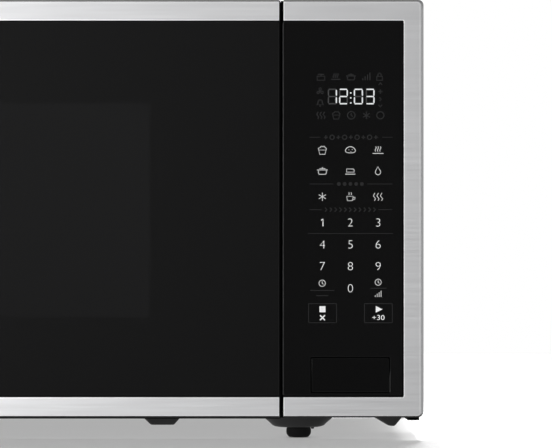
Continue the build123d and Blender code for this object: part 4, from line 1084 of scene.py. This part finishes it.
def icon(kind, cx, cy, s=4.0):
    """Small generic pictograms as stroke paths, in layout units, y down. s is half the height."""
    o = []

    def add(pts, closed=False):
        o.append(([(cx + x * s, cy + y * s) for x, y in pts], closed))

    if kind == "waves":
        for dx in (-0.75, 0.0, 0.75):
            add([(dx + 0.16 * math.sin(2 * PI * t / 12), -0.9 + 1.8 * t / 12) for t in range(13)])
    elif kind == "pot":
        add([(-0.95, -0.2), (-0.95, 0.55), (-0.75, 0.85), (0.75, 0.85), (0.95, 0.55), (0.95, -0.2)])
        add([(-1.3, -0.2), (1.3, -0.2)])
        add([(-0.7, -0.5), (0.7, -0.5)])
        add([(0.0, -0.5), (0.0, -0.85)])
    elif kind == "cup":
        add([(-0.8, -0.1), (-0.65, 0.85), (0.45, 0.85), (0.6, -0.1)], True)
        add([(0.6, 0.1), (1.05, 0.15), (0.95, 0.55), (0.52, 0.55)])
        add([(-0.35, -0.4), (-0.25, -0.65), (-0.35, -0.95)])
        add([(0.15, -0.4), (0.25, -0.65), (0.15, -0.95)])
    elif kind == "drop":
        pts = [(0.0, -0.95)] + [(0.62 * math.cos(math.radians(a)), 0.32 + 0.62 * math.sin(math.radians(a))) for a in range(-30, 211, 20)]
        add(pts, True)
    elif kind == "snow":
        for a in (90, 30, 150):
            c, q = math.cos(math.radians(a)), math.sin(math.radians(a))
            add([(-c * 0.95, -q * 0.95), (c * 0.95, q * 0.95)])
    elif kind == "thermo":
        add([(0.28 * math.cos(math.radians(a)), -0.7 + 0.28 * math.sin(math.radians(a))) for a in range(180, 361, 30)] +
            [(0.28, 0.25)] + [(0.45 * math.cos(math.radians(a)), 0.55 + 0.45 * math.sin(math.radians(a))) for a in range(-50, 231, 28)] +
            [(-0.28, 0.25)], True)
        add([(0.0, -0.3), (0.0, 0.5)])
    elif kind == "clock":
        add([(0.9 * math.cos(2 * PI * k / 24), 0.9 * math.sin(2 * PI * k / 24)) for k in range(24)], True)
        add([(0.0, -0.55), (0.0, 0.05), (0.4, 0.3)])
    elif kind == "bell":
        add([(-0.9, 0.5), (-0.62, 0.2), (-0.55, -0.35), (-0.3, -0.72), (0.0, -0.82), (0.3, -0.72), (0.55, -0.35), (0.62, 0.2), (0.9, 0.5)], True)
        add([(-0.22, 0.82), (0.22, 0.82)])
    elif kind == "bars":
        for i, h in enumerate((0.5, 1.0, 1.45, 1.9)):
            x = -0.9 + 0.6 * i
            add([(x, 0.9), (x, 0.9 - h)])
    elif kind == "plate":
        add([(-1.2, 0.6), (1.2, 0.6)])
        add([(0.95 * math.cos(math.radians(a)), 0.35 - 0.95 * math.sin(math.radians(a))) for a in range(0, 181, 15)], True)
    elif kind == "scale":
        add([(-0.9, 0.85), (-0.9, -0.1), (0.9, -0.1), (0.9, 0.85)], True)
        add([(-0.75, -0.55), (0.75, -0.55)])
        add([(0.0, -0.55), (0.0, -0.1)])
    elif kind == "lock":
        add([(-0.7, 0.9), (-0.7, -0.05), (0.7, -0.05), (0.7, 0.9)], True)
        add([(-0.42, -0.05), (-0.42, -0.5), (-0.2, -0.85), (0.2, -0.85), (0.42, -0.5), (0.42, -0.05)])
    elif kind == "fan":
        for a in (0, 120, 240):
            c, q = math.cos(math.radians(a)), math.sin(math.radians(a))
            pts = [(0.0, 0.0), (0.3, -0.55), (0.15, -0.95), (-0.3, -0.8), (-0.2, -0.35)]
            add([(x * c - y * q, x * q + y * c) for x, y in pts], True)
    elif kind == "up":
        add([(-0.7, 0.4), (0.0, -0.5), (0.7, 0.4)])
    elif kind == "down":
        add([(-0.7, -0.4), (0.0, 0.5), (0.7, -0.4)])
    elif kind == "ring":
        add([(0.9 * math.cos(2 * PI * k / 20), 0.9 * math.sin(2 * PI * k / 20)) for k in range(20)], True)
    elif kind == "leaf":
        add([(-0.8, 0.8), (-0.6, -0.2), (0.1, -0.75), (0.9, -0.85), (0.75, 0.0), (0.2, 0.6), (-0.55, 0.6)], True)
        add([(-0.8, 0.8), (0.3, -0.3)])
    elif kind == "tub":                      # tapered tub with a heap on top
        add([(-0.85, -0.05), (-0.6, 0.95), (0.6, 0.95), (0.85, -0.05)], True)
        add([(-0.85, -0.05), (-0.95, -0.45), (-0.5, -0.65), (-0.3, -0.95), (0.15, -0.8), (0.45, -0.95), (0.65, -0.6), (0.95, -0.4), (0.85, -0.05)])
    elif kind == "tuber":
        add([(1.25 * math.cos(2 * PI * k / 20), 0.78 * math.sin(2 * PI * k / 20) + 0.12 * math.cos(2 * PI * k / 10)) for k in range(20)], True)
        add([(-0.45, -0.15), (-0.3, -0.05)])
        add([(0.35, -0.25), (0.5, -0.15)])
        add([(0.05, 0.3), (0.2, 0.4)])
    elif kind == "dome":                     # plate under steam
        add([(-1.3, 0.75), (1.3, 0.75)])
        for dx in (-0.55, 0.0, 0.55):
            add([(dx + 0.13 * math.sin(2 * PI * t / 8), -0.9 + 1.2 * t / 8) for t in range(9)])
    elif kind == "block":                    # block softening over a line
        add([(-0.95, 0.35), (-0.95, -0.45), (0.75, -0.45), (0.95, -0.15), (0.95, 0.35)], True)
        add([(-1.25, 0.85), (1.25, 0.85)])
    elif kind == "steam":
        for dx in (-0.8, 0.0, 0.8):
            add([(dx, 0.9), (dx + 0.25, 0.45), (dx - 0.25, -0.2), (dx + 0.1, -0.85)])
    elif kind == "open_lock":
        add([(-0.75, 0.9), (-0.75, -0.02), (0.75, -0.02), (0.75, 0.9)], True)
        add([(-0.42, -0.02), (-0.42, -0.5), (-0.2, -0.85), (0.2, -0.85), (0.42, -0.55)])
    elif kind == "cross":
        add([(-0.9, -0.9), (0.9, 0.9)])
        add([(-0.9, 0.9), (0.9, -0.9)])
    elif kind == "chevron":
        add([(-0.35, -0.7), (0.35, 0.0), (-0.35, 0.7)])
    elif kind == "spark":
        add([(0.0, -0.8), (0.0, 0.8)])
        add([(-0.8, 0.0), (0.8, 0.0)])
    return o


def box_outline(x0, x1, y0, y1, r=0.8):
    pts = []
    for cx, cy, a0 in ((x1 - r, y1 - r, 0.0), (x0 + r, y1 - r, 90), (x0 + r, y0 + r, 180), (x1 - r, y0 + r, 270)):
        for k in range(5):
            a = math.radians(a0 + 22.5 * k)
            pts.append((cx + r * math.cos(a), cy + r * math.sin(a)))
    return pts


def legends():
    light, dim, grey = bmesh.new(), bmesh.new(), bmesh.new()
    W1 = 0.76
    # one-touch programmes
    for kind, x, y, s in (("tub", 322, 150, 4.3), ("tuber", 350, 150, 4.0), ("dome", 377.6, 150, 4.2),
                          ("pot", 322, 170.5, 4.2), ("block", 350, 170.5, 4.0), ("drop", 377.6, 170.5, 4.3),
                          ("snow", 322, 196.5, 4.3), ("cup", 350, 196.5, 4.6), ("steam", 377.6, 196.5, 4.4)):
        strokes(grey, icon(kind, x, y, s), W1)
    # number pad
    strokes(light, [([(320.7, 220.1), (322.6, 218.8), (322.6, 226.0)], False)], 1.0)
    for text, x, y in (("2", 350.0, 222.3), ("3", 377.8, 222.3), ("4", 322, 244.2), ("5", 350.0, 244.2),
                       ("6", 377.8, 244.2), ("7", 322, 265.9), ("8", 350.0, 265.9), ("9", 377.8, 265.9), ("0", 350.0, 288.0)):
        lettering(light, text, x, y, 8.0, sx=1.06, offset=-0.23)
    strokes(grey, icon("clock", 321.8, 283.0, 3.5), W1)
    for x0, x1, y in ((310, 334, 290.2), (316, 328, 295.4)):
        strokes(dim, [([(x0, y), (x1, y)], False)], 1.0)
    strokes(grey, icon("clock", 377.8, 282.0, 3.4), W1)
    strokes(dim, [([(370, 288), (386, 288)], False)], 0.8)
    strokes(grey, icon("bars", 377.8, 293.8, 3.2), 0.8)
    # stop and start keys
    for x0, x1 in ((308.2, 336.2), (364.1, 392.0)):
        strokes(dim, [(box_outline(x0, x1, 303.4, 322.5), True)], 0.8)
    ink_prism(light, [(319.1, 306.0), (325.1, 306.0), (325.1, 312.0), (319.1, 312.0)])
    strokes(light, icon("cross", 322.1, 317.5, 2.7), 1.3)
    ink_prism(light, [(375.4, 305.8), (382.2, 309.1), (375.4, 312.4)])
    lettering(light, "+30", 378.0, 317.3, 5.0, sx=1.15, offset=-0.02)
    # headings and rules
    for y, segs in ((137.0, ((309, 320), (382, 392))), (183.7, ((309, 333), (367, 392))), (209.4, ((309, 321), (378, 392))),
                    (233.2, ((307.4, 392.7),))):
        strokes(dim, [([(a, y), (b, y)], False) for a, b in segs], 0.7)
    for k in range(9):
        strokes(dim, icon("spark" if k % 2 == 0 else "ring", 325.5 + 6.25 * k, 137.0, 2.4), 1.15)
    for k in range(5):
        ink_prism(dim, disc(338.5 + 5.75 * k, 183.7, 1.9, 16))
    for k in range(11):
        strokes(dim, icon("chevron", 325.6 + 4.85 * k, 209.4, 2.9), 1.25)
    a = finish_mesh("keypad_legends", light, "cabinet", M["ink_white"], smooth=False)
    b = finish_mesh("keypad_rules", dim, "cabinet", M["ink_dim"], smooth=False)
    finish_mesh("keypad_pictograms", grey, "cabinet", M["ink_grey"], smooth=False)
    return a, b


legends()

SEGS = {"0": "abcdef", "1": "bc", "2": "abged", "3": "abgcd"}


def seven(bm_on, bm_off, digit, x0, x1, y0, y1, t=1.9):
    g = 0.22
    c = t * 0.42
    ym = (y0 + y1) / 2

    def hseg(y, cut=c):
        a, b = x0 + g + t * 0.25, x1 - g - t * 0.25
        return [(a, y), (a + cut, y - t / 2), (b - cut, y - t / 2), (b, y), (b - cut, y + t / 2), (a + cut, y + t / 2)]

    def vseg(x, ya, yb, cut=c):
        a, b = ya + g + t * 0.25, yb - g - t * 0.25
        return [(x, a), (x + t / 2, a + cut), (x + t / 2, b - cut), (x, b), (x - t / 2, b - cut), (x - t / 2, a + cut)]

    h = t / 2
    shapes = {"a": hseg(y0 + h), "g": hseg(ym), "d": hseg(y1 - h),
              "f": vseg(x0 + h, y0 + h, ym), "b": vseg(x1 - h, y0 + h, ym),
              "e": vseg(x0 + h, ym, y1 - h), "c": vseg(x1 - h, ym, y1 - h)}
    for k, pts in shapes.items():
        ink_prism(bm_on if k in SEGS[digit] else bm_off, pts, 0.03)


def clock_display():
    on, off, faint = bmesh.new(), bmesh.new(), bmesh.new()
    for d, a, b in (("1", 327.4, 336.6), ("2", 338.7, 347.5), ("0", 353.4, 362.6), ("3", 365.3, 374.2)):
        seven(on, off, d, a, b, 88.4, 104.1, 1.28)
    for y in (92.7, 97.6, 102.6):
        ink_prism(on, disc(350.4, y, 0.78, 14), 0.03)
    strokes_list = []
    for kind, x, y, s in (("scale", 320.6, 76.4, 4.2), ("dome", 335.3, 76.4, 3.6), ("pot", 350.6, 76.4, 3.8), ("bars", 366.0, 76.4, 4.0),
                          ("lock", 379.2, 76.4, 4.0), ("fan", 319.8, 91.0, 3.8), ("bell", 319.8, 102.6, 3.8),
                          ("up", 380.0, 83.7, 2.4), ("spark", 380.0, 91.3, 2.6), ("chevron", 380.0, 99.0, 2.6), ("down", 380.0, 105.5, 2.4),
                          ("steam", 320.6, 115, 4.0), ("tub", 335.9, 115, 4.0), ("clock", 350.9, 115, 4.2), ("snow", 366.1, 115, 4.0),
                          ("ring", 380.0, 115, 4.0)):
        strokes_list += icon(kind, x, y, s)
    strokes(faint, strokes_list, 1.25, 0.03)
    finish_mesh("clock_segments_lit", on, "cabinet", M["lit"], smooth=False)
    finish_mesh("clock_segments_unlit", off, "cabinet", M["ghost"], smooth=False)
    finish_mesh("display_icons_unlit", faint, "cabinet", M["ghost_dim"], smooth=False)


clock_display()


# ================================================================== camera, light and floor
scn = bpy.context.scene
cam_data = bpy.data.cameras.new("photo_camera")
cam_data.sensor_width = 36.0
cam_data.lens = 319.7
cam_data.clip_start = 0.05
cam_data.clip_end = 100.0
cam = bpy.data.objects.new("photo_camera", cam_data)
cam.location = (0.1854, -4.2525, 0.1765)
cam.rotation_euler = (PI / 2, 0, 0)
scn.collection.objects.link(cam)
scn.camera = cam
scn.view_settings.view_transform = "Standard"
scn.view_settings.look = "None"
scn.view_settings.exposure = 0.0
scn.view_settings.gamma = 1.0

world = bpy.data.worlds.new("studio")
scn.world = world
world.use_nodes = True
wt = world.node_tree
for n in list(wt.nodes):
    wt.nodes.remove(n)
wo = wt.nodes.new("ShaderNodeOutputWorld")
mix = wt.nodes.new("ShaderNodeMixShader")
lp = wt.nodes.new("ShaderNodeLightPath")
seen = wt.nodes.new("ShaderNodeBackground")
seen.inputs["Color"].default_value = (1, 1, 1, 1)
seen.inputs["Strength"].default_value = 1.0
soft = wt.nodes.new("ShaderNodeBackground")
tc = wt.nodes.new("ShaderNodeTexCoord")
dot = wt.nodes.new("ShaderNodeVectorMath")
dot.operation = "DOT_PRODUCT"
dot.inputs[1].default_value = (0.0, -1.0, 0.0)
wt.links.new(tc.outputs["Generated"], dot.inputs[0])
rng = wt.nodes.new("ShaderNodeMapRange")
rng.interpolation_type = "SMOOTHSTEP"
rng.inputs["From Min"].default_value = math.cos(math.radians(26))
rng.inputs["From Max"].default_value = math.cos(math.radians(9))
rng.inputs["To Min"].default_value = 1.03
rng.inputs["To Max"].default_value = 0.12
wt.links.new(dot.outputs["Value"], rng.inputs["Value"])
sep = wt.nodes.new("ShaderNodeSeparateXYZ")
wt.links.new(tc.outputs["Generated"], sep.inputs[0])
sky = wt.nodes.new("ShaderNodeMapRange")           # bright low down, darker overhead
sky.interpolation_type = "SMOOTHSTEP"
sky.inputs["From Min"].default_value = 0.30
sky.inputs["From Max"].default_value = 0.85
sky.inputs["To Min"].default_value = 0.88
sky.inputs["To Max"].default_value = 0.30
wt.links.new(sep.outputs["Z"], sky.inputs["Value"])
mul = wt.nodes.new("ShaderNodeMath")
mul.operation = "MULTIPLY"
wt.links.new(rng.outputs["Result"], mul.inputs[0])
wt.links.new(sky.outputs["Result"], mul.inputs[1])
rear = wt.nodes.new("ShaderNodeMapRange")          # the rear half is dimmer
rear.interpolation_type = "SMOOTHSTEP"
rear.inputs["From Min"].default_value = 0.05
rear.inputs["From Max"].default_value = 0.60
rear.inputs["To Min"].default_value = 1.0
rear.inputs["To Max"].default_value = 0.45
wt.links.new(sep.outputs["Y"], rear.inputs["Value"])
side = wt.nodes.new("ShaderNodeMapRange")          # and so is the right
side.interpolation_type = "SMOOTHSTEP"
side.inputs["From Min"].default_value = -0.35
side.inputs["From Max"].default_value = 0.80
side.inputs["To Min"].default_value = 1.12
side.inputs["To Max"].default_value = 0.62
wt.links.new(sep.outputs["X"], side.inputs["Value"])
mul3 = wt.nodes.new("ShaderNodeMath")
mul3.operation = "MULTIPLY"
wt.links.new(side.outputs["Result"], mul3.inputs[0])
wt.links.new(rear.outputs["Result"], mul3.inputs[1])
mul2 = wt.nodes.new("ShaderNodeMath")
mul2.operation = "MULTIPLY"
wt.links.new(mul.outputs[0], mul2.inputs[0])
wt.links.new(mul3.outputs[0], mul2.inputs[1])
soft.inputs["Color"].default_value = (1.0, 1.0, 1.0, 1)
wrap = wt.nodes.new("ShaderNodeMath")              # matt surfaces are filled a little more than glossy ones
wrap.operation = "MULTIPLY_ADD"
wrap.inputs[1].default_value = 0.92
wrap.inputs[2].default_value = 1.0
wt.links.new(lp.outputs["Is Diffuse Ray"], wrap.inputs[0])
mul4 = wt.nodes.new("ShaderNodeMath")
mul4.operation = "MULTIPLY"
wt.links.new(mul2.outputs[0], mul4.inputs[0])
wt.links.new(wrap.outputs[0], mul4.inputs[1])
wt.links.new(mul4.outputs[0], soft.inputs["Strength"])
wt.links.new(lp.outputs["Is Camera Ray"], mix.inputs[0])
wt.links.new(soft.outputs[0], mix.inputs[1])
wt.links.new(seen.outputs[0], mix.inputs[2])
wt.links.new(mix.outputs[0], wo.inputs["Surface"])


def area(name, loc, target, size, power, color=(1, 1, 1), size_y=None, glossy=True, diffuse=True):
    d = bpy.data.lights.new(name, "AREA")
    d.shape = "RECTANGLE" if size_y else "SQUARE"
    d.size = size
    if size_y:
        d.size_y = size_y
    d.energy = power
    d.color = color
    o = bpy.data.objects.new(name, d)
    o.location = loc
    o.rotation_euler = (Vector(target) - Vector(loc)).to_track_quat("-Z", "Y").to_euler()
    o.visible_camera = False
    o.visible_glossy = glossy
    o.visible_diffuse = diffuse
    scn.collection.objects.link(o)
    return o


sun_data = bpy.data.lights.new("back_sun", "SUN")
sun_data.energy = 6.8
sun_data.angle = math.radians(22)
sun = bpy.data.objects.new("back_sun", sun_data)
sun.rotation_euler = Vector((0.04, -1.0, -1.0)).to_track_quat("-Z", "Y").to_euler()
sun.visible_glossy = False
scn.collection.objects.link(sun)

area("left_softbox", (-1.35, -1.9, 0.21), (0.0, -0.25, 0.19), 1.3, 31.0, size_y=0.42, diffuse=False)
area("floor_fill", (-0.01, 0.003, 0.0078), (-0.01, 0.003, 0.0), 0.585, 0.445, size_y=0.46)
area("floor_fill_front", (0.002, -0.243, 0.0078), (0.002, -0.243, 0.0), 0.610, 0.011, size_y=0.028)
area("floor_fill_right", (0.3145, 0.06, 0.0100), (0.3145, 0.06, 0.0), 0.055, 0.062, size_y=0.30)
area("floor_fill_corner", (0.312, -0.165, 0.0085), (0.312, -0.165, 0.0), 0.050, 0.0205, size_y=0.15)


def floor():
    """A pale matt sweep: flat under the part, its edges turned down, with a faint slow drift in tone."""
    bm = bmesh.new()
    nx, ny = 40, 36
    x0, x1, y0, y1 = -2.6, 2.6, -0.90, 2.6
    grid = [[bm.verts.new((x0 + (x1 - x0) * i / nx, y0 + (y1 - y0) * j / ny, 0.0)) for i in range(nx + 1)] for j in range(ny + 1)]
    for j in range(ny):
        for i in range(nx):
            bm.faces.new((grid[j][i], grid[j][i + 1], grid[j + 1][i + 1], grid[j + 1][i]))
    for row in grid:
        for v in row:
            d = max(abs(v.co.x) - 2.4, v.co.y - 2.4, -0.82 - v.co.y, 0.0)
            v.co.z = -0.0004 - d * d * 0.6
    me = bpy.data.meshes.new("floor")
    bm.to_mesh(me)
    bm.free()
    me.polygons.foreach_set("use_smooth", [True] * len(me.polygons))
    m = Mat("pale_floor", (0.76, 0.76, 0.76), 0.75, spec=0.2)
    near = m.ramp(m.noise(3.0, 2.0), [(0.3, (0.756, 0.756, 0.756)), (0.7, (0.764, 0.764, 0.764))])
    m.color(m.mix(m.range(m.xyz()[1], 0.0, 1.0, 0.35, 0.80, smooth=True), near, (0.50, 0.50, 0.50)))   # less bright well behind the part
    me.materials.append(m.m)
    o = bpy.data.objects.new("floor", me)
    o.visible_glossy = False
    scn.collection.objects.link(o)
    return o


floor()
